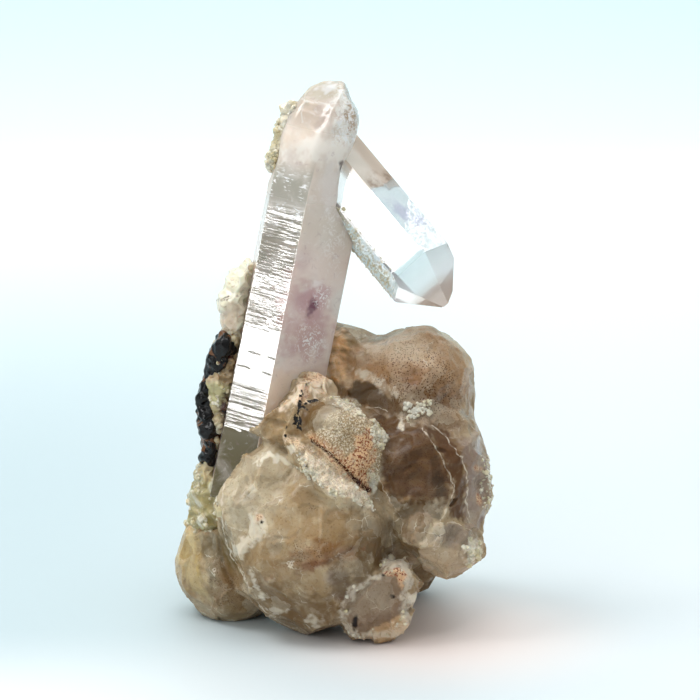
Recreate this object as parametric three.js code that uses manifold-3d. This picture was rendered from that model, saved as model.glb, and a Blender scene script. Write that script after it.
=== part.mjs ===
// Pale amethyst standing on calcite, a mineral specimen about 80 mm tall.
//
// A large quartz crystal leans on a wall of drusy crust and stands in a cluster of rounded calcite
// lobes. A second, clear crystal crosses it near the tip and points down to the right and forwards.
// A black iron oxide skin covers the outer side of the crust.
//
// Millimetres, +Z up, +X to the right and +Y to the back. The origin is in the middle of the
// bounding box, on the flat that the specimen rests on.

import * as THREE from "three";
import { ConvexGeometry } from "three/addons/geometries/ConvexGeometry.js";
import { mergeVertices } from "three/addons/utils/BufferGeometryUtils.js";
import Module from "manifold-3d";

const wasm = await Module();
wasm.setup();

// Driving dimensions. The crystal is 62 mm long, and everything else was sized against it.
const CLEARANCE = 0.3; // gap that one piece keeps to the next
const MERGE_DISTANCE = 1e-3; // points closer than this are one
const ROOT_BLUNT = -1.2; // how far a second termination is worn off below its point
const LUMP_HEIGHT = 1.15; // height of a lump of druse over its width
const VIEW_ELEVATION = THREE.MathUtils.degToRad(12); // the direction that crystal azimuths start from

// Each body of a crystal is the space inside its faces. A zone is one of the six sides: its azimuth
// in degrees from the front, the distance of its prism face from the axis, and its end faces, each
// given as [height where it would cross the axis, fall per mm outwards]. foot is the point on the
// axis that heights start from, and root is the height of the end face hidden in the matrix, or the
// height where the faces of a second termination would meet.
const RHOMB_FALL = Math.tan(THREE.MathUtils.degToRad(51.8)); // fall of a quartz rhomb face
const MAIN_CRYSTAL = {
  foot: [-12.2, -0.6, 18],
  axis: [0.2025, 0.087, 1],
  bodies: [
    { // the wide part, up to the shoulder on the right
      root: { height: 0, fall: 0 },
      zones: [
        { azimuth: -82, distance: 6.7, ends: [[68.2, 2.0]] },
        { azimuth: -22, distance: 6.65, ends: [[61.4, RHOMB_FALL]] },
        { azimuth: 38, distance: 5.0, ends: [[61.0, RHOMB_FALL]] },
        { azimuth: 98, distance: 6.65, ends: [[48.3, RHOMB_FALL]] },
        { azimuth: 158, distance: 6.7, ends: [[62.0, RHOMB_FALL]] },
        { azimuth: 218, distance: 5.0, ends: [[62.4, RHOMB_FALL]] },
      ],
    },
    { // the slender part above it
      root: { height: 4, fall: 0 },
      zones: [
        { azimuth: -82, distance: 6.6, ends: [[68.2, 2.0]] },
        { azimuth: -22, distance: 6.65, ends: [[61.4, RHOMB_FALL]] },
        { azimuth: 38, distance: 4.9, ends: [[61.0, RHOMB_FALL]] },
        { azimuth: 98, distance: 2.9, ends: [[60.6, RHOMB_FALL]] },
        { azimuth: 158, distance: 6.6, ends: [[62.0, RHOMB_FALL]] },
        { azimuth: 218, distance: 4.9, ends: [[62.4, RHOMB_FALL]] },
      ],
    },
    { // the head, which overhangs the slender part a little on the right
      root: { height: 54.0, fall: 0 },
      zones: [
        { azimuth: -82, distance: 6.2, ends: [[68.4, 2.0]] },
        { azimuth: -22, distance: 6.0, ends: [[70.6, 2.6], [61.9, 0.7]] },
        { azimuth: 38, distance: 4.8, ends: [[66.0, 1.9], [63.0, 1.0]] },
        { azimuth: 98, distance: 3.5, ends: [[62.5, RHOMB_FALL]] },
        { azimuth: 158, distance: 6.0, ends: [[62.8, 0.9]] },
        { azimuth: 218, distance: 4.8, ends: [[63.0, 1.0]] },
      ],
    },
  ],
};

const SIDE_CRYSTAL = {
  foot: [-5.2, 10.7, 71.1],
  axis: [0.61, -0.409, -0.679],
  bodies: [
    {
      root: { height: -2.0, fall: RHOMB_FALL },
      zones: [
        { azimuth: -49, distance: 4.95, ends: [[33.2, RHOMB_FALL]] },
        { azimuth: 11, distance: 4.95, ends: [[32.7, RHOMB_FALL]] },
        { azimuth: 71, distance: 4.7, ends: [[33.9, RHOMB_FALL]] },
        { azimuth: 131, distance: 5.2, ends: [[34.9, RHOMB_FALL]] },
        { azimuth: 191, distance: 4.95, ends: [[34.3, RHOMB_FALL]] },
        { azimuth: 251, distance: 4.95, ends: [[35.1, RHOMB_FALL]] },
      ],
    },
  ],
};

// The lobes of the calcite. half holds the half sizes across, front to back and up, turn leans the
// lobe in degrees about the Y axis, and each flat is a fracture face: its direction, and the share
// of the lobe's radius that is left there.
const LOBES = [
  { // the large boulder in front
    at: [-4.0, -6.0, 13.2], half: [12.8, 12.3, 13.8], turn: -12, seed: 1, detail: 5,
    flats: [{ toward: [-0.75, -0.55, 0.5], left: 0.93 }, { toward: [0.3, -0.85, 0.7], left: 0.95 }],
  },
  { at: [-15.5, 2.5, 7.7], half: [8.6, 10.0, 9.2], turn: 0, seed: 2, detail: 3, flats: [] },
  { // the round lobe at the upper right
    at: [12.1, 5.0, 33.2], half: [8.8, 10.0, 9.9], turn: 0, seed: 3, detail: 5, flats: [] },
  { at: [1.1, 8.5, 36.7], half: [6.8, 6.2, 5.8], turn: 0, seed: 4, detail: 2, flats: [] },
  { // the dark body at the right
    at: [12.3, 0.0, 21.2], half: [10.3, 12.5, 12.6], turn: 12, seed: 5, detail: 5,
    flats: [{ toward: [0.2, -1, 0.25], left: 0.9 }, { toward: [1, -0.35, 0.35], left: 0.94 }],
  },
  { at: [20.4, -2.0, 19.8], half: [2.6, 5.5, 5.2], turn: 8, seed: 17, detail: 2, flats: [] },
  { at: [12.3, -11.6, 16.0], half: [3.2, 3.4, 2.9], turn: 0, seed: 6, detail: 2, flats: [] },
  { at: [16.5, -8.0, 12.9], half: [5.2, 5.0, 4.7], turn: -15, seed: 7, detail: 2,
    flats: [{ toward: [0.9, -0.6, -0.2], left: 0.8 }] },
  { // the broken shell at the lower right
    at: [6.6, -11.8, 5.8], half: [5.6, 4.4, 7.0], turn: 40, seed: 8, detail: 3, flats: [] },
  { // the sandy wedge against the crystal, and the frosted ledge under it
    at: [1.0, -9.0, 29.0], half: [6.8, 5.8, 4.9], turn: 45, seed: 9, detail: 3,
    flats: [{ toward: [0.1, -0.9, 0.45], left: 0.8 }],
  },
  { at: [-1.3, -10.6, 24.5], half: [8.2, 5.4, 2.4], turn: 43, seed: 15, detail: 3,
    flats: [{ toward: [-0.3, -0.9, 0.5], left: 0.8 }] },
  { // the small wedges between the ledge and the crystal
    at: [-5.6, -8.6, 30.6], half: [3.4, 4.0, 3.8], turn: 20, seed: 18, detail: 1,
    flats: [{ toward: [-0.2, -0.9, 0.4], left: 0.8 }],
  },
  {
    at: [-8.7, -7.2, 30.2], half: [2.6, 3.2, 3.2], turn: 25, seed: 10, detail: 2,
    flats: [{ toward: [-0.3, -0.9, 0.3], left: 0.7 }],
  },
  { at: [-6.2, -4.4, 33.8], half: [3.6, 4.2, 3.6], turn: 25, seed: 16, detail: 2,
    flats: [{ toward: [-0.4, -0.8, 0.4], left: 0.75 }] },
  { // the inner mass, and the lobes at the back
    at: [2.0, 3.0, 19.0], half: [15.0, 13.0, 16.0], turn: 0, seed: 11, detail: 2, flats: [] },
  { at: [-9.0, 9.0, 18.5], half: [11.0, 9.5, 14.0], turn: 10, seed: 12, detail: 3, flats: [] },
  { at: [7.5, 11.5, 13.5], half: [11.0, 9.0, 14.4], turn: -6, seed: 13, detail: 3, flats: [] },
  { at: [-5.0, 10.0, 34.0], half: [9.0, 7.5, 9.5], turn: 0, seed: 14, detail: 3,
    flats: [{ toward: [-0.3, 0.9, 0.5], left: 0.85 }] },
];

// Shallow hollows worn or broken into the lobes.
const HOLLOWS = [
  { at: [6.0, -18.2, 7.4], half: [3.9, 3.6, 5.6], turn: 40, seed: 21, detail: 2, flats: [] },
];

// Lumps of druse, each an ellipsoid: [x, y, z, radius]. Their front to back size is a multiple of
// the radius. The druse of the head grows on the crystal, from its tip down its left side.
const HEAD_DRUSE_DEPTH = 1.6;
const HEAD_DRUSE = [
  [-6.3, 2.4, 74.9, 0.8], [-7.2, 2.5, 73.3, 1.0], [-7.6, 2.4, 71.6, 1.1], [-8.0, 2.4, 69.9, 1.05],
  [-8.6, 2.3, 68.3, 1.2], [-8.9, 2.2, 66.9, 1.0],
];

// The crust runs from a wedge against the crystal down to the left calcite lobe.
const CRUST_DEPTH = 1.9;
const CRUST_LUMPS = [
  [-13.0, 1.6, 52.0, 1.3], [-14.2, 1.3, 50.2, 2.0], [-15.1, 1.1, 47.6, 2.3], [-14.6, 0.9, 45.0, 2.2],
  [-15.2, 0.7, 42.3, 1.9], [-16.1, 0.6, 39.3, 2.2], [-16.8, 0.4, 36.0, 2.5], [-17.1, 0.3, 32.8, 2.2],
  [-17.4, 0.2, 29.8, 1.9], [-17.8, 0.1, 27.0, 1.6], [-18.3, 0.0, 24.5, 1.6], [-18.8, -0.2, 21.9, 2.0],
  [-19.6, -0.4, 18.9, 2.2],
];

// The black iron oxide lies on the crust's outer side.
const OXIDE_DEPTH = 1.6;
const OXIDE_LUMPS = [
  [-16.2, -1.6, 41.1, 1.6], [-17.2, -1.3, 39.3, 1.5], [-18.0, -1.0, 37.3, 1.1], [-18.6, -0.9, 35.3, 1.0],
  [-18.9, -0.8, 33.2, 1.2], [-18.8, -0.9, 31.1, 1.4], [-18.5, -1.1, 28.9, 1.6], [-18.3, -1.1, 26.7, 1.4],
  [-18.5, -1.1, 24.6, 1.2],
];

// Small crystals that rim the broken faces. Each rim is an ellipse in a tilted plane.
const RIMS = [
  { at: [2.2, -12.6, 29.6], across: [5.0, 0.4, -2.4], up: [1.6, 2.4, 4.2], from: -80, to: 70, count: 8, size: 0.9 },
  { at: [6.5, -14.8, 6.4], across: [3.4, 0.4, 3.4], up: [-3.4, 1.4, 4.2], from: -170, to: 170, count: 13, size: 0.8 },
  { at: [19.4, -9.4, 12.8], across: [1.6, 1.6, 0.4], up: [0.2, 0.6, 3.4], from: -120, to: 120, count: 5, size: 0.8 },
];

const FINISH = {
  crystals: { color: 0xcfc4c8, roughness: 0.08, metalness: 0, transparent: true, opacity: 0.75 },
  calcite: { color: 0xa89a86, roughness: 0.4, metalness: 0 },
  crust: { color: 0xc9b48f, roughness: 0.6, metalness: 0 },
  oxide: { color: 0x17181a, roughness: 0.3, metalness: 0.3 },
};

// A manifold-3d solid of a closed geometry whose coincident vertices are merged first.
function solidFromGeometry(geometry) {
  geometry.deleteAttribute("normal");
  geometry.deleteAttribute("uv");
  const merged = mergeVertices(geometry, 1e-3);
  const index = merged.index.array;
  const kept = [];
  for (let i = 0; i < index.length; i += 3) {
    const [a, b, c] = [index[i], index[i + 1], index[i + 2]];
    if (a !== b && b !== c && c !== a) kept.push(a, b, c);
  }
  return new wasm.Manifold(
    new wasm.Mesh({
      numProp: 3,
      vertProperties: merged.attributes.position.array,
      triVerts: new Uint32Array(kept),
    }),
  );
}

// The frame of a crystal: its own Z is the axis, and its own -Y faces the front as far as it can.
function crystalFrame(crystal) {
  const z = new THREE.Vector3(...crystal.axis).normalize();
  const front = new THREE.Vector3(0, -Math.cos(VIEW_ELEVATION), Math.sin(VIEW_ELEVATION));
  const y = front.clone().addScaledVector(z, -front.dot(z)).normalize().negate();
  const x = new THREE.Vector3().crossVectors(y, z);
  return new THREE.Matrix4().makeBasis(x, y, z).setPosition(...crystal.foot);
}

// The face planes of one body of a crystal, as { normal, constant } with normal . p <= constant.
function bodyPlanes({ root, zones }) {
  const planes = [];
  const face = (x, y, z, constant) => {
    const normal = new THREE.Vector3(x, y, z);
    const size = normal.length();
    planes.push({ normal: normal.divideScalar(size), constant: constant / size });
  };
  face(0, 0, -1, root.fall ? -root.height - ROOT_BLUNT : -root.height);
  for (const { azimuth, distance, ends } of zones) {
    const turn = THREE.MathUtils.degToRad(azimuth);
    const [x, y] = [Math.sin(turn), -Math.cos(turn)];
    face(x, y, 0, distance);
    for (const [height, fall] of ends) face(fall * x, fall * y, 1, height);
    if (root.fall) face(root.fall * x, root.fall * y, -1, -root.height);
  }
  return planes;
}

// The convex solid inside a set of face planes, each moved out by grow.
function insideOf(planes, grow) {
  const corners = [];
  const inside = (p) => planes.every(({ normal, constant }) => normal.dot(p) <= constant + grow + 1e-6);
  for (let i = 0; i < planes.length; i += 1)
    for (let j = i + 1; j < planes.length; j += 1)
      for (let k = j + 1; k < planes.length; k += 1) {
        const [a, b, c] = [planes[i], planes[j], planes[k]];
        const bc = new THREE.Vector3().crossVectors(b.normal, c.normal);
        const det = a.normal.dot(bc);
        if (Math.abs(det) < 1e-6) continue;
        const p = bc.multiplyScalar(a.constant + grow);
        p.addScaledVector(new THREE.Vector3().crossVectors(c.normal, a.normal), b.constant + grow);
        p.addScaledVector(new THREE.Vector3().crossVectors(a.normal, b.normal), c.constant + grow);
        p.divideScalar(det);
        if (inside(p) && !corners.some((q) => q.distanceTo(p) < MERGE_DISTANCE)) corners.push(p);
      }
  return new ConvexGeometry(corners);
}

// One crystal, all its bodies joined, with every face moved out by grow.
function crystalSolid(crystal, grow = 0) {
  const frame = crystalFrame(crystal);
  const bodies = crystal.bodies.map((body) =>
    solidFromGeometry(insideOf(bodyPlanes(body), grow).applyMatrix4(frame)),
  );
  return wasm.Manifold.union(bodies);
}

// A smooth swell between -1 and 1 over a unit sphere.
function swell(p, seed) {
  return (
    (Math.sin(3.1 * p.x + 1.7 * p.y + seed) +
      Math.sin(2.3 * p.y - 2.9 * p.z + 2 * seed) +
      Math.sin(2.7 * p.z + 3.3 * p.x + 3 * seed)) /
    3
  );
}

// A rounded lobe of calcite with its fracture faces, moved out by grow.
function lobeSolid({ at, half, turn, seed, detail, flats }, grow = 0) {
  const geometry = new THREE.IcosahedronGeometry(1, detail);
  const position = geometry.attributes.position;
  const p = new THREE.Vector3();
  const toward = flats.map((flat) => new THREE.Vector3(...flat.toward).normalize());
  for (let i = 0; i < position.count; i += 1) {
    p.fromBufferAttribute(position, i).normalize();
    let radius = 1 + 0.045 * swell(p, seed) + 0.02 * swell(p.clone().multiplyScalar(2.6), seed + 5);
    flats.forEach((flat, k) => {
      const facing = p.dot(toward[k]);
      if (facing * radius > flat.left) radius = flat.left / facing;
    });
    p.multiplyScalar(radius);
    position.setXYZ(i, p.x * (half[0] + grow), p.y * (half[1] + grow), p.z * (half[2] + grow));
  }
  geometry.rotateY(THREE.MathUtils.degToRad(turn));
  geometry.translate(...at);
  return solidFromGeometry(geometry);
}

// A row of lumps along a seam, each an ellipsoid that overlaps the next, moved out by grow.
function lumpsSolid(lumps, depth, grow = 0) {
  const made = lumps.map(([x, y, z, radius], i) => {
    const half = [radius, radius * depth, radius * LUMP_HEIGHT];
    const lump = { at: [x, y, z], half, turn: 40 * Math.sin(7 * i), seed: i, detail: 1, flats: [] };
    return lobeSolid(lump, grow);
  });
  return wasm.Manifold.union(made);
}

// A short six-sided quartz point, about twice as long as it is wide.
function pointSolid(size, at, direction) {
  const profile = [[0, -1], [0.62, -1], [0.55, 0.35], [0, 1.05]];
  const geometry = new THREE.LatheGeometry(profile.map(([r, h]) => new THREE.Vector2(r * size, h * size)), 6);
  const turn = new THREE.Quaternion().setFromUnitVectors(new THREE.Vector3(0, 1, 0), direction);
  geometry.applyQuaternion(turn);
  geometry.translate(at.x, at.y, at.z);
  return solidFromGeometry(geometry);
}

// The small crystals round a broken face. They fan outwards from it, with a sway from one to the next.
function rimSolids(rim) {
  const centre = new THREE.Vector3(...rim.at);
  const across = new THREE.Vector3(...rim.across);
  const up = new THREE.Vector3(...rim.up);
  return Array.from({ length: rim.count }, (_, i) => {
    const angle = THREE.MathUtils.degToRad(rim.from + ((rim.to - rim.from) * i) / (rim.count - 1));
    const out = across.clone().multiplyScalar(Math.cos(angle)).addScaledVector(up, Math.sin(angle));
    const at = centre.clone().add(out);
    const sway = new THREE.Vector3(0.5 * Math.sin(5 * i), -0.9, 0.5 * Math.cos(4 * i));
    return pointSolid(rim.size * (1 + 0.35 * Math.sin(3 * i)), at, out.normalize().add(sway).normalize());
  });
}

// The part of a solid above the flat that the specimen rests on.
function cutAtRest(solid) {
  const floor = new THREE.BoxGeometry(200, 200, 100).translate(0, 0, -50);
  return solid.subtract(solidFromGeometry(floor));
}

// The largest body of a solid, which leaves out slivers that a cut has set free.
function largest(solid) {
  return solid.decompose().reduce((a, b) => (b.volume() > a.volume() ? b : a));
}

// A named mesh of a solid.
function meshOf(name, solid, finish) {
  const { numProp, numVert, vertProperties, triVerts } = solid.getMesh();
  const points = new Float32Array(numVert * 3);
  for (let i = 0; i < numVert; i += 1)
    points.set(vertProperties.subarray(i * numProp, i * numProp + 3), i * 3);
  const geometry = new THREE.BufferGeometry()
    .setAttribute("position", new THREE.BufferAttribute(points, 3))
    .setIndex(new THREE.BufferAttribute(triVerts, 1));
  geometry.computeVertexNormals();
  const mesh = new THREE.Mesh(geometry, new THREE.MeshStandardMaterial({ ...finish, flatShading: true }));
  mesh.name = name;
  return mesh;
}

const crystals = crystalSolid(MAIN_CRYSTAL)
  .add(crystalSolid(SIDE_CRYSTAL))
  .add(lumpsSolid(HEAD_DRUSE, HEAD_DRUSE_DEPTH));
const crystalsRoom = crystalSolid(MAIN_CRYSTAL, CLEARANCE).add(crystalSolid(SIDE_CRYSTAL, CLEARANCE));

const oxide = largest(lumpsSolid(OXIDE_LUMPS, OXIDE_DEPTH).subtract(crystalsRoom));
const oxideRoom = lumpsSolid(OXIDE_LUMPS, OXIDE_DEPTH, CLEARANCE);

const crust = largest(lumpsSolid(CRUST_LUMPS, CRUST_DEPTH).subtract(crystalsRoom).subtract(oxideRoom));
const crustRoom = lumpsSolid(CRUST_LUMPS, CRUST_DEPTH, CLEARANCE);

const lobes = wasm.Manifold.union(LOBES.map((lobe) => lobeSolid(lobe)));
const hollows = wasm.Manifold.union(HOLLOWS.map((hollow) => lobeSolid(hollow)));
const rims = wasm.Manifold.union(RIMS.flatMap(rimSolids));
const calcite = largest(
  cutAtRest(lobes.subtract(hollows).add(rims))
    .subtract(crystalsRoom)
    .subtract(crustRoom)
    .subtract(oxideRoom),
);

const specimen = new THREE.Group();
specimen.add(
  meshOf("amethyst_crystals", crystals, FINISH.crystals),
  meshOf("calcite_matrix", calcite, FINISH.calcite),
  meshOf("drusy_crust", crust, FINISH.crust),
  meshOf("iron_oxide_skin", oxide, FINISH.oxide),
);

// The origin goes under the middle of the bounding box.
const box = new THREE.Box3().setFromObject(specimen);
specimen.position.set(-(box.min.x + box.max.x) / 2, -(box.min.y + box.max.y) / 2, 0);

const part = new THREE.Group();
part.add(specimen);
export default part;
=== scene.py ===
import itertools
import math

import bpy
import numpy as np
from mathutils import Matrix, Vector


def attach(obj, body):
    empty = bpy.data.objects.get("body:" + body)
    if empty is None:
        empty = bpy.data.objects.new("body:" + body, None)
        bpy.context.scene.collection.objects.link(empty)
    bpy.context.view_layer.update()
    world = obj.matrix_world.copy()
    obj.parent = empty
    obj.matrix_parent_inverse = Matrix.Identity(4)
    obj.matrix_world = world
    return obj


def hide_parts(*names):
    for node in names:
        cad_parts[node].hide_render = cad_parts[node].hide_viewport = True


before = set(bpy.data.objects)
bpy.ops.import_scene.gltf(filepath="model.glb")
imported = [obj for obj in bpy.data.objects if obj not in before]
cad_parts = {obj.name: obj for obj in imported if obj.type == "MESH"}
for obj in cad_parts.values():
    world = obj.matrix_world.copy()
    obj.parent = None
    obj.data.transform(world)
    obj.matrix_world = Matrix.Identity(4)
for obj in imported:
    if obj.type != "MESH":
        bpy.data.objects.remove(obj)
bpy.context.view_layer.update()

# The calcite: one piece of rounded lobes that have grown into each other, translucent and smoky,
# with broken faces where neighbours came away. It stands on the undersides of four lobes.
MM = 0.001
PLAN = np.array([0.434, -1.213, 0.0])  # mm, where the lobes below are counted from
VIEW = math.radians(12.0)  # the specimen's front is looked down on by this much
EYE = 430.0  # mm from the specimen's middle to where its front is seen from
MIDDLE = np.array([2.394, -1.213, 40.2])

# Each lobe: place, half sizes (across, front to back, up), lean about Y in degrees, seed, broken
# faces as (direction, share of the radius left), how softly it runs into its neighbours in mm.
LOBES = [
    ((-4.0, -6.0, 13.2), (12.8, 12.3, 13.8), -12, 1, [
        ((-0.75, -0.55, 0.5), 0.93), ((0.3, -0.85, 0.7), 0.95), ((-0.3, -0.9, 0.15), 0.955),
        ((0.55, -0.8, 0.05), 0.95), ((-0.15, -0.9, -0.45), 0.955), ((-0.85, -0.3, -0.2), 0.95)], 0.35),
    ((-11.2, -7.2, 18.9), (5.9, 6.6, 9.7), 12, 19, [
        ((-0.7, -0.6, 0.4), 0.9), ((0.1, -0.8, 0.7), 0.93)], 0.6),
    ((-15.5, 2.5, 7.7), (8.6, 10.0, 9.2), 0, 2, [
        ((-0.8, -0.5, 0.35), 0.92), ((-0.2, -0.9, 0.3), 0.93), ((-0.6, -0.6, -0.5), 0.93)], 1.7),
    ((-17.6, 0.4, 12.2), (4.8, 6.4, 6.4), 24, 21, [
        ((-0.7, -0.6, 0.4), 0.9), ((0.2, -0.9, 0.3), 0.9)], 1.7),
    ((12.1, 5.0, 33.2), (8.8, 10.0, 9.9), 0, 3, [], 2.4),
    ((1.1, 8.5, 36.7), (6.8, 6.2, 5.8), 0, 4, [], 2.4),
    ((5.6, 4.6, 34.2), (6.4, 7.6, 6.6), 0, 20, [], 2.4),
    ((12.3, 0.0, 21.2), (10.3, 12.5, 12.6), 12, 5, [
        ((0.2, -1, 0.25), 0.9), ((1, -0.35, 0.35), 0.94)], 2.4),
    ((20.4, -2.0, 19.8), (2.6, 5.5, 5.2), 8, 17, [
        ((0.7, -0.8, 0.1), 0.8), ((0.9, -0.3, 0.6), 0.85)], 1.0),
    ((12.3, -11.4, 16.0), (3.3, 3.4, 3.0), 0, 6, [
        ((0.1, -1, 0.2), 0.7), ((-0.8, -0.6, 0.1), 0.78), ((0.6, -0.5, 0.7), 0.75),
        ((-0.2, -0.4, -0.9), 0.8)], 0.9),
    ((16.5, -8.0, 12.9), (5.4, 5.2, 4.9), -15, 7, [
        ((0.95, -0.4, -0.1), 0.82), ((-0.1, -0.8, 0.6), 0.76), ((0.25, -0.95, -0.1), 0.8),
        ((-0.6, -0.8, -0.3), 0.84), ((0.3, -0.4, -0.9), 0.8)], 0.9),
    ((18.6, -3.4, 15.6), (3.2, 4.6, 4.6), 0, 22, [
        ((0.8, -0.6, 0), 0.85), ((0.5, -0.8, 0.4), 0.85)], 1.2),
    ((6.6, -11.8, 5.8), (5.6, 4.4, 7.0), 40, 8, [
        ((-0.75, 0, 0.65), 0.86), ((0.95, 0, 0.3), 0.84), ((0.3, 0, 1), 0.9), ((0.6, 0, -0.8), 0.86)], 0.3),
    ((1.0, -9.0, 29.0), (6.8, 5.8, 4.9), 45, 9, [
        ((0.1, -0.9, 0.45), 0.8), ((-0.5, -0.2, 1), 0.9), ((0.9, -0.4, 0.2), 0.9)], 0.3),
    ((-1.3, -10.6, 24.5), (8.2, 5.4, 3.0), 43, 15, [
        ((-0.3, -0.9, 0.5), 0.72), ((-0.7, -0.6, -0.6), 0.8)], 0.9),
    ((-5.2, -7.6, 31.4), (3.6, 3.6, 3.8), 20, 18, [
        ((-0.1, -0.9, 0.35), 0.6), ((-0.9, -0.4, 0.3), 0.7), ((0.3, -0.5, 0.9), 0.7)], 0.6),
    ((-7.6, -6.0, 32.2), (3.3, 3.6, 6.6), 39, 10, [
        ((-0.25, -0.9, 0.3), 0.55), ((-1, -0.15, 0.3), 0.62), ((-0.1, -0.3, -1), 0.8)], 0.6),
    ((-3.3, -4.6, 35.2), (3.8, 3.6, 2.9), 20, 16, [
        ((-0.1, -0.9, 0.4), 0.6), ((-0.5, -0.3, 0.85), 0.7), ((0.7, -0.3, 0.6), 0.8)], 0.8),
    ((2.0, 3.0, 19.0), (15.0, 13.0, 16.0), 0, 11, [], 2.0),
    ((-9.0, 9.0, 18.5), (11.0, 9.5, 14.0), 10, 12, [], 2.0),
    ((7.5, 11.5, 13.5), (11.0, 9.0, 14.4), -6, 13, [], 2.0),
    ((-5.0, 10.0, 34.0), (9.0, 7.5, 9.5), 0, 14, [((-0.3, 0.9, 0.5), 0.85)], 2.0),
]
SHELL_HOLLOW = ((6.0, -18.2, 7.4), (3.9, 3.6, 5.6), 40)
VOXEL = 0.23  # mm, the cells that the lobes are fused on


def waves(p, size, seed, count=14):
    """A smooth random swell over points p in mm, about -1 to 1: the sum of plane waves whose lengths
    lie round `size` mm and whose directions and phases come from the seed."""
    rng = np.random.default_rng(seed)
    direction = rng.normal(size=(3, count))
    direction /= np.linalg.norm(direction, axis=0)
    k = direction * (2 * np.pi / (size * rng.uniform(0.7, 1.4, count)))
    phase = rng.uniform(0, 2 * np.pi, count)
    return np.sin(p @ k + phase).sum(-1) / math.sqrt(count)


def smoothstep(low, high, x):
    """0 at low, 1 at high, and 3t^2 - 2t^3 between."""
    t = np.clip((x - low) / (high - low), 0, 1)
    return t * t * (3 - 2 * t)


def lobe_radius(p, seed, broken):
    """How far a lobe reaches in the unit direction p: 1 plus a slow swell, or up to the plane of a
    broken face where that is nearer."""
    def swell(q, s):
        x, y, z = q[..., 0], q[..., 1], q[..., 2]
        first = np.sin(3.1 * x + 1.7 * y + s)
        second = np.sin(2.3 * y - 2.9 * z + 2 * s)
        return (first + second + np.sin(2.7 * z + 3.3 * x + 3 * s)) / 3

    radius = 1 + 0.045 * swell(p, seed) + 0.02 * swell(2.6 * p, seed + 5)
    for toward, left in broken:
        facing = p @ (np.array(toward) / np.linalg.norm(toward))
        radius = np.where(facing * radius > left, left / np.maximum(facing, 1e-6), radius)
    return radius


def leant(lean):
    """The turn about Y by `lean` degrees, for points kept as rows."""
    t = math.radians(lean)
    return np.array([[math.cos(t), 0, -math.sin(t)], [0, 1, 0], [math.sin(t), 0, math.cos(t)]])


def lobe(place, half, lean, seed, broken, spacing=0.45):
    """A lobe's surface: its reach in every direction, stretched to its half sizes, leant and put in
    place. Parameters: the angle from the pole, and the angle round it."""
    rows = max(12, int(math.pi * max(half) / spacing))
    down = np.linspace(0, np.pi, rows)
    around = np.linspace(0, 2 * np.pi, 2 * rows, endpoint=False)
    a, b = np.meshgrid(down, around, indexing="ij")
    p = np.stack([np.sin(a) * np.cos(b), np.sin(a) * np.sin(b), np.cos(a)], -1)
    q = p * lobe_radius(p, seed, broken)[..., None] * np.array(half)
    return q @ leant(lean) + np.array(place) + PLAN


def outside_lobe(p, place, half, lean, seed, broken):
    """About how far points p lie outside a lobe, in mm: how far past its surface each is along the
    line from its middle."""
    q = (p - PLAN - np.array(place)) @ leant(lean).T
    scaled = q / np.array(half)
    size = np.linalg.norm(scaled, axis=1)
    reach = lobe_radius(scaled / size[:, None], seed, broken)
    return (1 - reach / size) * np.linalg.norm(q, axis=1)


def rugged(grid, seed):
    """A lobe's grid with a natural surface: swells of 6 and 2.4 mm, and shallow scoops with crests
    between them, moved along the lobe's own radius."""
    p = grid.reshape(-1, 3)
    middle = p.mean(0)
    out = (p - middle) / np.linalg.norm(p - middle, axis=1, keepdims=True)
    scoops = -np.abs(waves(p, 7.0, seed + 2)) + np.abs(waves(p, 4.5, seed + 3)) * 0.5
    rise = 0.16 * (waves(p, 6.0, seed) + 1.2 * scoops) + 0.06 * waves(p, 2.4, seed + 1)
    return (p + out * rise[:, None]).reshape(grid.shape)


def closed(grid):
    """Points and faces of a closed surface from a grid whose first and last rows are its poles and
    whose columns run round it."""
    rows, cols = grid.shape[:2]
    points = np.concatenate([grid[:1, 0], grid[1:-1].reshape(-1, 3), grid[-1:, 0]])
    ring = 1 + np.arange(rows - 2)[:, None] * cols + np.arange(cols)
    beside = np.roll(ring, -1, axis=1)
    quads = np.stack([ring[:-1], ring[1:], beside[1:], beside[:-1]], -1).reshape(-1, 4)
    first = np.stack([np.zeros(cols, int), ring[0], beside[0]], -1)
    last = np.stack([np.full(cols, len(points) - 1), beside[-1], ring[-1]], -1)
    return points, [quads, np.concatenate([first, last])]


def joined(parts):
    """Several (points, faces) as one."""
    points, faces, start = [], [], 0
    for p, f in parts:
        points.append(p)
        faces += [g + start for g in f]
        start += len(p)
    return np.concatenate(points), faces


def new_mesh(name, points, faces, smooth=None):
    """A mesh in metres from points in mm. `smooth` is the angle in degrees below which faces blend."""
    mesh = bpy.data.meshes.new(name)
    mesh.from_pydata((points * MM).tolist(), [], [row for f in faces for row in f.tolist()])
    mesh.update()
    if smooth is not None:
        mesh.polygons.foreach_set("use_smooth", np.ones(len(mesh.polygons), bool))
        mesh.set_sharp_from_angle(angle=math.radians(smooth))
    return mesh


def piece(name, mesh, material, slot, *nodes):
    """A finished piece of the specimen, in place in the frame."""
    obj = bpy.data.objects.new(name, mesh)
    bpy.context.scene.collection.objects.link(obj)
    mesh.materials.append(material)
    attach(obj, "root")
    if nodes:
        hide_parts(*nodes)


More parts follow.
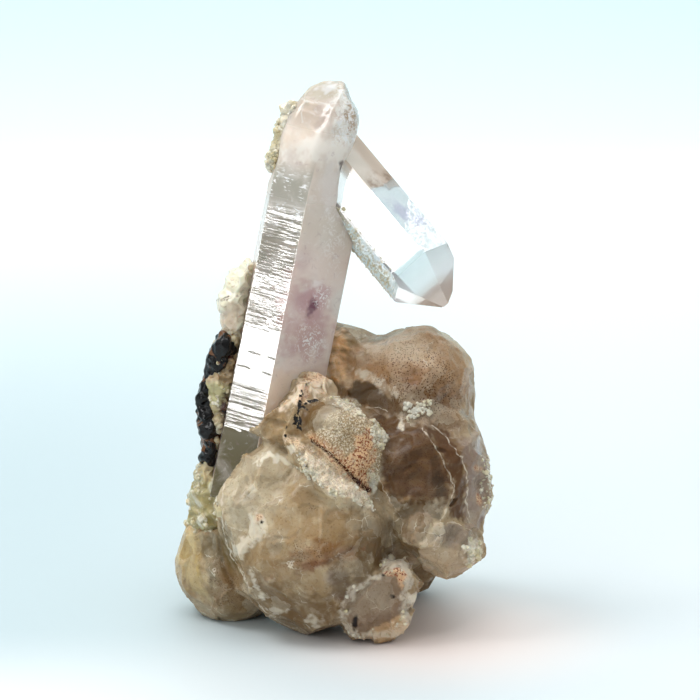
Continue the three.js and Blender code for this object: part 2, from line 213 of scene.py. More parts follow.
def with_modifier(mesh, kind, plain=None, **settings):
    """The mesh that a modifier with these settings makes of this one. `plain`, where it is given,
    says for each point whether it is in the modifier's group fully or by half."""
    name = mesh.name
    obj = bpy.data.objects.new(name, mesh)
    bpy.context.scene.collection.objects.link(obj)
    modifier = obj.modifiers.new(kind, kind)
    for key, value in settings.items():
        setattr(modifier, key, value)
    if plain is not None:
        group = obj.vertex_groups.new(name="plain")
        group.add(np.flatnonzero(plain).tolist(), 1.0, "REPLACE")
        group.add(np.flatnonzero(~plain).tolist(), 0.5, "REPLACE")
        modifier.vertex_group = group.name
    done = bpy.data.meshes.new_from_object(obj.evaluated_get(bpy.context.evaluated_depsgraph_get()))
    bpy.data.objects.remove(obj)
    bpy.data.meshes.remove(mesh)
    done.name = name
    return done


def fused(name, parts, voxel):
    """One skin round closed shells that overlap, as lobes that grew into each other have: their
    union, resampled on cells of `voxel` mm."""
    shells = new_mesh(name, *joined(parts))
    return with_modifier(shells, "REMESH", mode="VOXEL", voxel_size=voxel * MM, use_smooth_shade=True)


def points_of(mesh):
    """The mesh's points in mm, and its normals."""
    p = np.empty(len(mesh.vertices) * 3, np.float32)
    n = np.empty(len(mesh.vertices) * 3, np.float32)
    mesh.vertices.foreach_get("co", p)
    mesh.vertex_normals.foreach_get("vector", n)
    return p.reshape(-1, 3).astype(float) / MM, n.reshape(-1, 3).astype(float)


def moved(mesh, p):
    """Puts the mesh's points at p in mm, and gives back its points and normals."""
    mesh.vertices.foreach_set("co", (p * MM).astype(np.float32).ravel())
    mesh.update()
    return points_of(mesh)


def settled(mesh, p, weight, rounds):
    """Points drawn to the middle of their neighbours, round after round, each as far as its weight."""
    ends = np.empty(2 * len(mesh.edges), np.int32)
    mesh.edges.foreach_get("vertices", ends)
    a, b = ends.reshape(-1, 2).T
    count = len(p)
    share = weight / (np.bincount(a, minlength=count) + np.bincount(b, minlength=count))
    for _ in range(rounds):
        total = [np.bincount(a, p[b, i], count) + np.bincount(b, p[a, i], count) for i in range(3)]
        p = p * (1 - weight[:, None]) + np.stack(total, -1) * share[:, None]
    return p


def chipped(p, n, chance, count, wide, deep, seed):
    """Small flat breaks. At each of `count` spots a plane lies about `deep` mm under the surface,
    turned a few degrees at random, and what stands above it within `wide` mm comes off. The plane
    rises with the cube of the distance, as the shell-shaped breaks of a mineral do. Returns the
    points with that taken off."""
    rng = np.random.default_rng(seed)
    spots = rng.choice(len(p), count, replace=False, p=chance / chance.sum())
    tilt = n[spots] + rng.normal(0, 0.13, (count, 3))
    tilt /= np.linalg.norm(tilt, axis=1, keepdims=True)
    depth = deep * rng.uniform(0.5, 1.5, count)
    off = np.zeros(len(p))
    for spot, face, down in zip(spots, tilt, depth):
        near = np.flatnonzero(np.abs(p - p[spot]).max(1) < wide)
        q = p[near] - p[spot]
        above = q @ face + down - 4 * deep * (np.linalg.norm(q, axis=1) / wide) ** 3
        same_side = smoothstep(0.72, 0.9, n[near] @ face)
        off[near] = np.maximum(off[near], np.clip(above, 0, 2.5 * deep) * same_side)
    return p - n * off[:, None]


def front(p):
    """Points as the front shows them from its distance: mm to the right, and mm up the view."""
    q = p - MIDDLE
    near = -q[:, 1] * math.cos(VIEW) + q[:, 2] * math.sin(VIEW)
    up = q[:, 1] * math.sin(VIEW) + q[:, 2] * math.cos(VIEW)
    grow = EYE / (EYE - near)
    middle_up = MIDDLE[1] * math.sin(VIEW) + MIDDLE[2] * math.cos(VIEW)
    return np.stack([q[:, 0] * grow + MIDDLE[0], up * grow + middle_up], -1)


def edge_distance(at, corners, shut):
    """Distance of points to the nearest side of an outline or a line through corners."""
    corners = np.array(corners)
    a = corners[:None if shut else -1]
    d = (np.roll(corners, -1, axis=0) if shut else corners[1:]) - a
    q = at[:, None] - a
    t = np.clip((q * d).sum(-1) / (d * d).sum(-1), 0, 1)
    return np.linalg.norm(q - t[..., None] * d, axis=-1).min(1)


def not_behind(p, back):
    """1 in front of the depth `back` mm, and 0 from half a millimetre behind it."""
    return smoothstep(back + 0.5, back - 1.0, p[:, 1])


def within(p, outline, soft=0.15, ragged=0.2, seed=0, back=3.0):
    """How much a point lies within an outline on the front: 1 inside, 0 outside, through a smooth
    step `soft` mm wide to each side of an edge that waves makes `ragged`. Nothing deeper than `back`
    is in it."""
    at = front(p)
    a = np.array(outline)
    b = np.roll(a, -1, axis=0)
    x, s = at[:, :1], at[:, 1:]
    spans = (a[:, 1] <= s) != (b[:, 1] <= s)
    edge_x = a[:, 0] + (s - a[:, 1]) * (b[:, 0] - a[:, 0]) / (b[:, 1] - a[:, 1] + 1e-9)
    inside = (spans & (x < edge_x)).sum(1) % 2 == 1
    far = edge_distance(at, outline, True) * np.where(inside, 1, -1)
    far += ragged * (waves(p, 1.8, seed + 200) + 0.6 * waves(p, 0.8, seed + 300))
    return smoothstep(-soft, soft, far) * not_behind(p, back)


def oval(p, x, s, across, up, turn=0.0, edge=0.4, ragged=0.25, seed=0, back=3.0):
    """How much a point lies in a ragged oval on the front. x, s are its middle, across and up its
    half sizes in mm, turn its lean in degrees, and edge how soft its rim is, as a share."""
    at = front(p) - np.array([x, s])
    t = math.radians(turn)
    dx = at[:, 0] * math.cos(t) + at[:, 1] * math.sin(t)
    ds = at[:, 1] * math.cos(t) - at[:, 0] * math.sin(t)
    rough = waves(p, 2.2, seed + 50) * 0.7 + waves(p, 0.9, seed + 90) * 0.4
    far = np.hypot(dx / across, ds / up) + ragged * rough
    return (1 - smoothstep(1 - edge, 1 + edge, far)) * not_behind(p, back)


def line_distance(p, lines, ragged=0.12, seed=3, back=3.0):
    """Distance in mm, on the front, to the nearest of some wavering lines."""
    at = front(p) + ragged * np.stack([waves(p, 1.3, seed), waves(p, 1.3, seed + 1)], -1)
    nearest = np.min([edge_distance(at, line, False) for line in lines], axis=0)
    return np.where(p[:, 1] < back, nearest, 9.0)


shells = []
for *shape, seed, broken, softness in LOBES:
    grid = rugged(lobe(*shape, seed, broken), seed * 7)
    grid[..., 2] = np.maximum(grid[..., 2], 0.0)
    shells.append(closed(grid))
calcite_mesh = fused("calcite", shells, VOXEL)

# The folds between lobes are filled as they grew, the more the softer the two run together.
p, n = points_of(calcite_mesh)
away = np.stack([outside_lobe(p, *row[:5]) for row in LOBES])
order = np.argsort(away, axis=0)
softness = np.array([row[5] for row in LOBES])
k = np.minimum(softness[order[0]], softness[order[1]])
gap = np.take_along_axis(away, order[1:2], 0)[0] - np.take_along_axis(away, order[:1], 0)[0]
fold = np.exp(-((gap / (1.2 * k)) ** 2)) * smoothstep(0.0, 2.0, p[:, 2])
p, n = moved(calcite_mesh, settled(calcite_mesh, p, 0.9 * fold * np.minimum(1, k), 120))

# Old breaks, wide and shallow on the large lobes, small and steep on the small ones.
lobe_size = np.array([min(row[1]) for row in LOBES])[order[0]]
large = 1.0 * (lobe_size > 8) * (p[:, 2] > 0.3)
small = 1.0 * (lobe_size <= 8) * (p[:, 2] > 0.3)
p = chipped(p, n, large, 130, 7.0, 0.36, 51)
p = chipped(p, n, large, 320, 3.2, 0.10, 52)
p = chipped(p, n, small, 90, 3.6, 0.30, 53)
p = chipped(p, n, small, 260, 1.8, 0.10, 54)
p[:, 2] = np.maximum(p[:, 2], 0.0)
p, n = moved(calcite_mesh, p)

# Its broken faces, stains, lines and painted shade on the front, by corners in mm to the right and up the
# view.
PILLOW = [
    (-4.9, 31.4), (-2.2, 32.2), (1.7, 32.4), (3.4, 31.4), (4.9, 28.3), (5.9, 29.0), (7.9, 26.3),
    (7.0, 24.7), (6.7, 21.6), (5.6, 18.3), (3.4, 20.0), (-0.5, 24.0), (-3.1, 25.8), (-5.1, 27.7)]
PILLOW_RIM = [(-0.5, 32.1), (1.7, 32.4), (3.4, 31.4), (4.4, 28.9), (2.4, 29.3), (0.9, 30.6)]
PILLOW_TAN = [
    (-4.9, 31.4), (-2.2, 32.1), (0.7, 31.6), (1.1, 30.1), (-1.7, 27.2), (-3.7, 26.3), (-5.1, 28.2)]
CLUSTER = [(4.9, 28.3), (5.9, 29.0), (7.9, 26.3), (7.0, 24.7), (5.4, 25.1)]
LOW_CLUSTER = [(4.6, 21.5), (6.0, 21.6), (6.6, 19.9), (5.9, 18.2), (5.1, 18.6), (4.6, 19.9)]
RUST_CORNER = [
    (4.7, 27.7), (5.7, 26.0), (5.9, 22.8), (4.7, 21.4), (5.3, 18.6), (3.4, 20.2), (1.2, 22.4),
    (3.0, 24.5), (3.4, 26.4)]
LEDGE = [
    (-7.3, 27.4), (-4.9, 26.0), (-0.5, 23.4), (3.4, 19.6), (5.3, 18.2), (5.7, 15.6), (3.8, 16.9),
    (-0.9, 18.6), (-4.4, 22.2), (-5.4, 24.7), (-7.2, 25.8)]
LEDGE_FROST = [
    (-5.3, 24.5), (-2.2, 23.2), (1.7, 20.5), (5.0, 18.0), (5.7, 15.8), (3.8, 16.9), (-0.9, 18.6),
    (-4.4, 21.9)]
LEDGE_CHIP = [(-6.9, 25.1), (-6.0, 25.4), (-5.3, 24.4), (-6.0, 24.0)]
OLIVE_FACET = [(-10.4, 28.2), (-7.8, 29.9), (-6.0, 30.3), (-7.2, 27.7), (-7.5, 25.3), (-9.8, 26.4)]
CONTACT = [
    (-5.4, 34.0), (-1.7, 35.9), (-0.8, 35.3), (-1.4, 33.0), (-4.9, 31.5), (-6.0, 31.1), (-7.8, 30.1),
    (-6.3, 32.4)]
FILM = [
    (-12.1, 15.3), (-11.1, 15.6), (-9.5, 14.1), (-9.6, 12.1), (-11.7, 10.5), (-13.8, 8.7),
    (-15.0, 9.9), (-14.6, 10.9), (-12.7, 12.1), (-12.4, 13.7)]
BOULDER_PALE = [
    (-10.4, 25.7), (-6.3, 24.5), (-4.9, 21.9), (-7.8, 17.3), (-10.4, 15.6), (-14.7, 10.8),
    (-15.9, 12.2), (-16.3, 17.3), (-14.7, 22.4)]
BOULDER_VEIN = [(-11.1, 22.5), (-10.4, 24.3), (-9.2, 24.5), (-7.8, 23.5), (-8.2, 22.9), (-9.5, 23.4)]
# Painted shade low on the boulder.
BOULDER_LOW_SHADE = [(-13.6, 7.7), (-4.9, 4.2), (1.7, 3.5), (1.7, -1.8), (-6.3, -1.3), (-11.2, 2.8)]
BOULDER_RIGHT = [
    (2.4, 16.6), (5.6, 15.6), (9.6, 14.1), (8.6, 10.8), (9.4, 8.6), (6.0, 6.4), (2.7, 4.0), (1.7, 8.6)]
LEFT_YELLOW = [
    (-22.5, 12.2), (-20.8, 14.4), (-19.6, 12.9), (-19.2, 6.4), (-17.9, 2.8), (-19.9, 3.1),
    (-21.7, 6.4), (-23.1, 9.3)]
LEFT_BROWN = [(-17.2, 8.6), (-13.8, 7.1), (-11.8, 2.8), (-12.1, 1.1), (-17.2, 2.8)]
SHELL = [
    (0.5, 1.1), (2.2, 4.2), (4.6, 5.8), (6.9, 7.1), (7.2, 8.7), (9.2, 9.6), (11.2, 7.9), (11.4, 5.7),
    (10.5, 4.0), (11.5, 1.1), (11.2, -1.3), (8.9, -2.6), (4.6, -3.4), (2.0, -1.8)]
SHELL_INSIDE = [
    (2.2, 2.2), (4.1, 4.4), (6.7, 6.1), (9.1, 7.0), (10.2, 6.0), (9.6, 2.8), (9.9, 0.2), (6.7, -1.7),
    (3.6, -2.1), (2.2, -0.4)]
SHELL_RUST = [(7.3, 6.6), (9.5, 7.4), (10.5, 6.3), (9.8, 4.5), (9.1, 6.0)]
SHELL_CHIP = [(10.8, 3.7), (12.7, 4.0), (12.0, 1.6), (10.9, 1.6)]
SHELL_SAND = [(5.6, -1.6), (9.6, 0.5), (11.4, -0.4), (11.2, -1.6), (8.9, -2.7), (4.7, -3.4)]
SMOKY_HEART = [
    (5.9, 28.9), (8.5, 29.6), (9.9, 28.2), (13.1, 28.3), (16.3, 23.1), (17.5, 18.7), (16.3, 17.0),
    (9.6, 17.4), (7.3, 19.3), (6.5, 22.4), (7.6, 25.3)]
SMOKY_FOOT = [(7.3, 19.0), (9.6, 17.4), (16.3, 17.0), (15.4, 14.7), (9.9, 14.4), (8.5, 16.6)]
SMOKY_STRIP = [
    (13.1, 28.3), (16.3, 27.4), (18.9, 22.8), (19.2, 14.4), (17.5, 14.1), (16.7, 16.6), (17.5, 18.7),
    (16.3, 23.1)]
SMOKY_TOP = [(1.4, 32.4), (3.6, 34.8), (5.6, 34.3), (8.5, 32.4), (10.4, 30.1), (8.5, 29.6), (5.3, 30.6)]
GREY_SIDE = [
    (18.3, 26.0), (20.8, 27.2), (23.0, 23.1), (23.0, 20.9), (21.8, 14.4), (19.2, 11.5), (18.9, 17.3),
    (19.2, 21.6)]
KNOB_A = [(9.9, 14.1), (11.4, 15.1), (13.7, 15.6), (14.3, 14.4), (13.1, 11.8), (11.1, 10.8), (9.9, 12.2)]
KNOB_B = [
    (12.5, 10.8), (14.9, 13.8), (17.8, 13.8), (21.0, 12.1), (21.8, 10.8), (21.2, 8.6), (19.1, 7.1),
    (16.2, 6.0), (12.8, 7.1)]
KNOB_B_WHITE = [(19.5, 11.8), (21.0, 11.3), (21.0, 8.9), (18.6, 8.0)]
BUMP = [(-0.2, 41.9), (1.7, 41.4), (1.7, 36.1), (0.7, 34.0), (-0.8, 35.0)]
SEAMS = [
    [(13.0, 27.7), (15.0, 24.8), (16.5, 21.9), (17.5, 19.2), (17.2, 17.3), (16.2, 15.6), (15.4, 14.2)],
    [(14.3, 28.2), (16.2, 26.7), (17.6, 24.5), (18.6, 23.4)],
    [(18.3, 23.8), (19.2, 21.6), (19.5, 19.5), (19.2, 17.3), (19.8, 14.4)],
    [(6.0, 22.2), (7.2, 19.0), (8.3, 17.0), (9.6, 15.1), (10.2, 14.1), (9.9, 12.2), (11.1, 10.8)],
    [(9.9, 15.1), (8.8, 14.1), (8.3, 12.2), (8.6, 10.0)],
    [(15.4, 13.9), (17.6, 14.1), (19.8, 12.9), (20.2, 12.2)],
    [(21.0, 26.7), (22.3, 24.5), (23.0, 23.1)],
    [(4.7, 30.8), (6.7, 30.6), (7.9, 30.1)],
    [(-10.4, 25.7), (-12.8, 24.5), (-14.7, 22.4), (-15.7, 20.2), (-16.3, 17.3), (-16.2, 14.4),
     (-15.6, 11.5), (-14.9, 9.3), (-13.6, 7.4), (-12.4, 5.0), (-11.2, 3.1), (-10.7, 1.9),
     (-9.2, 0.6), (-7.8, -0.4), (-5.4, -1.4)],
]
SUTURE = [
    [(-3.1, 25.9), (-1.7, 24.9), (-0.5, 24.0), (1.7, 21.9), (3.4, 20.1), (5.0, 18.6)],
]
DENDRITE = [
    [(-4.7, 33.0), (-4.6, 31.8), (-4.9, 30.9), (-5.4, 30.3), (-5.6, 29.1), (-5.45, 27.9)],
    [(-4.9, 30.9), (-5.1, 29.5), (-5.05, 28.7), (-4.6, 27.5)],
    [(-4.9, 30.9), (-4.3, 30.5), (-3.7, 30.1)],
    [(-5.5, 29.7), (-4.9, 29.2), (-4.7, 28.7)],
    [(-5.5, 28.6), (-5.0, 28.0)],
    [(-4.2, 31.2), (-2.5, 31.6)],
    [(-6.8, 27.9), (-6.7, 27.8)],
    [(-7.1, 26.7), (-6.9, 26.4)],
]

# The two plainest broken faces are smoother than the grown skin round them.
plain_face = np.maximum(within(p, PILLOW, 0.7, 0.1, 1, -2.0), oval(p, -9.5, 22.9, 2.6, 2.2))
p, n = moved(calcite_mesh, settled(calcite_mesh, p, 0.9 * plain_face, 60))
pillow = within(p, PILLOW, 0.12, 0.12, 1, -2.0)
pillow_rim = within(p, PILLOW_RIM, 0.3, 0.25, 2, -2.0)
pillow_tan = within(p, PILLOW_TAN, 0.5, 0.4, 3, -2.0)
clusters = np.maximum(within(p, CLUSTER, 0.2, 0.2, 4, -2.0), within(p, LOW_CLUSTER, 0.2, 0.2, 5, -2.0))
ledge = within(p, LEDGE, 0.15, 0.15, 6, -6.0)
ledge_frost = within(p, LEDGE_FROST, 0.25, 0.3, 7, -6.0)
film = within(p, FILM, 0.35, 0.3, 8)
shell = within(p, SHELL, 0.2, 0.25, 9, -8.0)
shell_inside = within(p, SHELL_INSIDE, 0.25, 0.25, 10, -8.0)
shell_rim = shell * (1 - shell_inside)
heart = within(p, SMOKY_HEART, 0.9, 0.5, 11)
strip = within(p, SMOKY_STRIP, 0.4, 0.3, 12)
knob_a = within(p, KNOB_A, 0.15, 0.1, 13)
knob_b = within(p, KNOB_B, 0.15, 0.15, 14)
knob_b_white = within(p, KNOB_B_WHITE, 0.2, 0.3, 15)
olive_facet = within(p, OLIVE_FACET, 0.12, 0.1, 16)
left_druse = oval(p, -19.6, 16.9, 2.4, 3.4, 15, 0.3, 0.35, 17, 30.0)
right_edge = oval(p, 22.9, 19.0, 1.3, 5.5, 5, 0.3, 0.35, 18, 30.0)
tiny_cluster = oval(p, 12.3, 30.4, 1.9, 1.3, -10, 0.25, 0.35, 19)
sandy = pillow * (1 - pillow_tan)
knobbly = np.maximum.reduce([
    pillow_rim, clusters, 0.8 * ledge_frost, 0.7 * shell_rim, knob_b_white, left_druse,
    0.6 * right_edge, tiny_cluster])

# The shell's broken face is hollow, and every region stands a little proud or lies a little low.
hollow_at, hollow_half, hollow_lean = SHELL_HOLLOW
in_hollow = ((p - PLAN - np.array(hollow_at)) @ leant(hollow_lean).T) / np.array(hollow_half)
p[:, 1] += np.clip(1 - np.linalg.norm(in_hollow, axis=1), 0, 1) * 2.4
to_seam = line_distance(p, SEAMS)
to_suture = line_distance(p, SUTURE, 0.05, 4, -4.0)
to_dendrite = line_distance(p, DENDRITE, 0.16, 5, -1.0)
knobs = np.abs(waves(p, 1.6, 31, 20)) + np.abs(waves(p, 0.9, 32, 20)) - 0.6
rise = (
    0.28 * pillow + 0.25 * clusters + 0.20 * ledge_frost + 0.12 * film + 0.10 * shell_rim
    + 0.22 * knob_a + 0.22 * knob_b - 0.10 * heart - 0.06 * strip - 0.15 * olive_facet
    + 0.5 * tiny_cluster + 0.13 * knobbly * knobs + 0.05 * sandy * waves(p, 0.9, 33, 20)
    + 0.02 * waves(p, 1.1, 34, 20) - 0.05 * np.abs(waves(p, 2.6, 35, 20))
    + 0.10 * ledge * (np.abs(waves(p, 1.4, 36, 20)) - 0.4)
    + 0.03 * np.exp(-((to_seam / 0.25) ** 2)) - 0.22 * np.exp(-((to_suture / 0.3) ** 2)))
p = p + n * rise[:, None]
p[:, 2] = np.maximum(p[:, 2], 0.0)
grown_points, grown_normals = moved(calcite_mesh, p)


def linear(code):
    """The linear colour of an sRGB hex value."""
    c = np.array([int(code[i:i + 2], 16) / 255 for i in (1, 3, 5)])
    return (*np.where(c <= 0.04045, c / 12.92, ((c + 0.055) / 1.055) ** 2.4), 1.0)


def tint(mesh, layers, dimmed=(1, 1, 1)):
    """Paints the body colour at every point: each layer (hex, amount) laid on those before it. What
    comes out is multiplied by `dimmed`, the share of red, green and blue that the body gives back."""
    colour = np.zeros((len(mesh.vertices), 3))
    for code, amount in layers:
        colour += (np.array(linear(code)[:3]) - colour) * np.reshape(np.clip(amount, 0, 1), (-1, 1))
    rgba = np.column_stack([colour * dimmed, np.ones(len(colour))]).astype(np.float32)
    mesh.attributes.new("body", "FLOAT_COLOR", "POINT").data.foreach_set("color", rgba.ravel())


def paint(mesh, name, *channels):
    """Three fields over the mesh's points, kept as one attribute for the material to read."""
    values = [np.broadcast_to(c, len(mesh.vertices)) for c in channels]
    values = np.stack(values, -1).astype(np.float32)
    mesh.attributes.new(name, "FLOAT_VECTOR", "POINT").data.foreach_set("vector", values.ravel())


# Smoke is iron and clay taken up while it grew, yellow and rust came in with water along the breaks.
# Some layers below are painted shade rather than stains: darker towards the bottom, and spots low on the
# boulder.
tint(calcite_mesh, [
    ("#A8936F", 1),
    ("#CBBE9F", smoothstep(-0.2, 1.2, waves(p, 13.0, 41) + 0.25 * waves(p, 4.0, 42))),
    ("#8A7350", 0.8 * smoothstep(0.2, 1.3, waves(p, 10.0, 43) + 0.25 * waves(p, 4.0, 44))),
    # Painted shade: the body darker towards the bottom.
    ("#7E694A", 0.6 * smoothstep(9.0, 1.0, p[:, 2])),
    ("#C6BEA6", 0.65 * within(p, BOULDER_PALE, 1.6, 0.5, 20)),
    # Painted shade on the low part of the boulder.
    ("#765E3C", 0.95 * within(p, BOULDER_LOW_SHADE, 1.8, 0.6, 21)),
    ("#5C4626", 0.85 * within(p, BOULDER_RIGHT, 1.5, 0.6, 22)),
    ("#A88A5E", 0.7 * oval(p, -0.5, 13.0, 5.0, 3.2, 20, 0.5, 0.3, 23)),
    ("#8C6236", 0.7 * oval(p, -1.6, 9.2, 4.6, 2.0, 14, 0.6, 0.5, 24)),
    ("#7A4418", 0.7 * oval(p, -1.8, 8.3, 3.6, 0.45, 20, 0.8, 1.1, 73)),
    ("#5E3A18", 0.8 * oval(p, 1.0, 9.4, 2.4, 0.3, 27, 0.6, 0.4, 25)),
    ("#B9B0A8", 0.7 * oval(p, 0.2, 6.2, 1.3, 1.2, 0, 0.5, 0.3, 26)),
    # Painted shadow: a dark reddish band next to the shell.
    ("#5A3324", 0.7 * oval(p, 1.3, 3.4, 1.9, 0.6, 0, 0.6, 0.3, 27)),
    ("#C6B27C", within(p, LEFT_YELLOW, 0.9, 0.4, 28, 12.0)),
    ("#6C5C38", 0.9 * oval(p, -16.4, 9.6, 2.6, 5.0, 10, 0.5, 0.3, 71, 12.0)),
    ("#C08C45", 0.8 * oval(p, -19.2, 14.2, 2.0, 1.3, -10, 0.6, 0.4, 29, 12.0)),
    ("#8C7452", 0.85 * within(p, LEFT_BROWN, 0.9, 0.5, 30)),
    ("#BC9C78", 0.95 * oval(p, 11.0, 35.8, 11.0, 7.4, 0, 0.35, 0.15, 31)),
    ("#8A6038", 0.7 * oval(p, 13.2, 32.4, 5.0, 4.0, -30, 0.7, 0.15, 32)),
    ("#D6C2AA", 0.9 * oval(p, 9.0, 39.6, 6.0, 2.6, -10, 0.5, 0.3, 33)),
    ("#F8C684", within(p, BUMP, 0.8, 0.4, 34, 12.0)),
    ("#54401F", 0.95 * within(p, SMOKY_TOP, 0.3, 0.25, 35)),
    ("#705436", 0.85 * oval(p, 12.0, 26.0, 7.5, 8.5, 0, 0.4, 0.2, 72)),
    ("#664B2E", heart),
    ("#2E1A0A", 0.3 * heart * smoothstep(-0.3, 1.0, waves(p, 3.4, 45))),
    ("#8A6C4C", 0.5 * heart * smoothstep(0.3, 1.1, waves(p * np.array([0.5, 1.0, 1.0]), 2.2, 46))),
    ("#2A1A0C", 0.6 * oval(p, 15.3, 19.8, 0.9, 3.2, 12, 0.5, 0.3, 36)),
    # Painted shade low on the boulder, below its middle.
    ("#5A4428", 0.85 * oval(p, 1.0, 5.6, 1.7, 2.6, 10, 0.6, 0.3, 70)),
    ("#5A4424", 0.95 * within(p, SMOKY_FOOT, 0.4, 0.3, 37)),
    ("#5C3C1A", 0.95 * strip),
    ("#96867C", 0.9 * within(p, GREY_SIDE, 0.6, 0.3, 38, 8.0) * smoothstep(8.0, 1.0, p[:, 1])),
    ("#82684A", 0.9 * knob_a),
    ("#C9BAA2", 0.9 * knob_b),
    ("#8F877E", 0.8 * knob_b * oval(p, 17.4, 12.6, 3.4, 1.7, 0, 0.5, 0.3, 39)),
    ("#6E5632", pillow_tan * pillow),
    ("#B7A684", sandy),
    ("#E6D4B8", 0.9 * ledge),
    ("#AC9670", 0.95 * olive_facet),
    ("#FFE4C6", 0.95 * within(p, CONTACT, 0.4, 0.4, 40)),
    ("#84705A", shell),
    ("#8C7A68", 0.9 * shell_inside * oval(p, 5.4, 1.0, 5.0, 3.4, 0, 0.5, 0.3, 41)),
    ("#D0B48C", 0.9 * within(p, SHELL_SAND, 0.3, 0.3, 42, -8.0)),
    ("#D8C59A", 0.9 * left_druse),
], dimmed=(0.87, 0.79, 0.73))
rust = np.maximum.reduce([
    within(p, RUST_CORNER, 0.5, 0.45, 43, -2.0),
    pillow * np.exp(-((line_distance(p, SUTURE, 0.1, 4, -4.0) / 0.9) ** 2)),
    0.8 * oval(p, 1.3, 22.5, 3.6, 1.0, -45, 0.6, 0.4, 44, -2.0),
    within(p, SHELL_RUST, 0.2, 0.25, 45, -8.0),
    0.6 * oval(p, -3.0, 35.0, 1.6, 0.8, 20, 0.5, 0.5, 46),
    0.5 * oval(p, -4.4, 32.6, 1.2, 0.8, 60, 0.5, 0.5, 47),
    0.8 * oval(p, -10.8, 14.8, 0.55, 0.6, -40, 0.4, 0.2, 48),
    0.7 * oval(p, 21.0, 21.9, 0.9, 0.35, 0, 0.5, 0.4, 49),
    0.8 * oval(p, 21.0, 17.4, 0.35, 0.8, 20, 0.5, 0.4, 50)])
frost = np.maximum.reduce([
    0.6 * shell_rim, 0.6 * pillow_rim, 0.6 * clusters, 0.6 * ledge_frost, knob_b_white, 0.7 * film,
    within(p, BOULDER_VEIN, 0.2, 0.35, 51),
    within(p, LEDGE_CHIP, 0.12, 0.1, 52),
    oval(p, -6.9, 22.8, 1.0, 0.35, -45, 0.4, 0.3, 53),
    0.8 * within(p, CONTACT, 0.6, 0.4, 40),
    0.3 * within(p, BUMP, 0.8, 0.4, 34, 12.0),
    0.35 * oval(p, -12.3, 18.2, 0.9, 1.4, -25, 0.6, 0.3, 54),
    0.7 * oval(p, -11.3, 5.2, 0.4, 2.2, 25, 0.4, 0.7, 55),
    0.5 * oval(p, -8.0, 1.3, 1.0, 0.5, 0, 0.4, 0.8, 56),
    0.6 * oval(p, -2.7, -0.2, 1.2, 0.7, 20, 0.4, 0.8, 57, -4.0),
    oval(p, 9.9, 28.2, 0.5, 0.8, 0, 0.3, 0.4, 58),
    within(p, SHELL_CHIP, 0.15, 0.2, 59, -6.0),
    0.75 * oval(p, 6.4, 34.3, 3.0, 0.7, -28, 0.4, 0.6, 60)])
speck = np.maximum.reduce([
    0.5 * heart, 0.35 * sandy,
    oval(p, 13.2, 34.0, 6.6, 4.8, -25, 0.7, 0.15, 61, 12.0),
    0.35 * oval(p, 13.0, 38.5, 7.5, 4.0, 0, 0.5, 0.25, 62, 12.0),
    0.5 * oval(p, -4.9, 9.6, 1.0, 1.9, 0, 0.6, 0.4, 63),
    0.6 * within(p, LEFT_BROWN, 0.6, 0.5, 64),
    0.5 * oval(p, -3.5, 16.3, 1.3, 0.4, 0, 0.5, 0.4, 65),
    0.6 * oval(p, -2.6, 9.0, 3.2, 1.6, 14, 0.6, 0.5, 74)])
black = np.maximum.reduce([
    oval(p, 3.2, -0.4, 0.45, 1.2, -8, 0.3, 0.3, 66, -6.0),
    oval(p, 8.7, 3.3, 0.45, 0.3, -30, 0.3, 0.3, 67, -6.0),
    oval(p, 7.2, 6.4, 0.28, 0.2, 0, 0.3, 0.3, 68, -6.0),
    oval(p, -10.4, 14.1, 0.2, 0.2, 0, 0.3, 0.2, 69)])
smoky = np.maximum.reduce([
    heart, 0.8 * strip, 0.7 * within(p, SMOKY_TOP, 0.3, 0.25, 35), 0.35 * shell_inside, black])
paint(calcite_mesh, "stains", rust, frost, speck)
paint(calcite_mesh, "lines", to_seam, to_suture, to_dendrite)
paint(calcite_mesh, "marks", black, smoky, np.maximum(sandy, 0.6 * ledge))


def new_material(name):
    """An empty material, and Object coordinates in millimetres for it."""
    material = bpy.data.materials.new(name)
    material.use_nodes = True
    material.node_tree.nodes.clear()
    place = add(material, "TexCoord", {})["Object"]
    return material, add(material, "VectorMath", {0: place, 1: [1000] * 3}, operation="MULTIPLY")[0]


def add(material, kind, inputs, **settings):
    """Adds a shader node with its settings and its inputs, each a number, a colour as a hex value or
    another node's output, and gives back its outputs."""
    tree = material.node_tree
    node = tree.nodes.new("ShaderNode" + kind)
    for key, value in settings.items():
        setattr(node, key, value)
    for key, value in inputs.items():
        if isinstance(value, bpy.types.NodeSocket):
            tree.links.new(value, node.inputs[key])
        else:
            node.inputs[key].default_value = linear(value) if isinstance(value, str) else value
    return node.outputs


def amount(material, *fields):
    """The product of some fields. Each is an output, or (output, low, high, weak, strong) for a smooth
    ramp from weak to strong, or 0 to 1, as the output goes from low to high."""
    total = None
    for field in fields:
        if isinstance(field, tuple):
            ends = dict(zip(("Value", "From Min", "From Max", "To Min", "To Max"), field))
            field = add(material, "MapRange", ends, interpolation_type="SMOOTHSTEP")[0]
        if total is not None:
            field = add(material, "Math", {0: total, 1: field}, operation="MULTIPLY")[0]
        total = field
    return total


def layered(material, colour, layers):
    """A colour with layers laid on it in turn. Each is a hex value and the fields that say how much."""
    for code, *fields in layers:
        mix = {0: amount(material, *fields), 6: colour, 7: code}
        colour = add(material, "Mix", mix, data_type="RGBA")[2]
    return colour


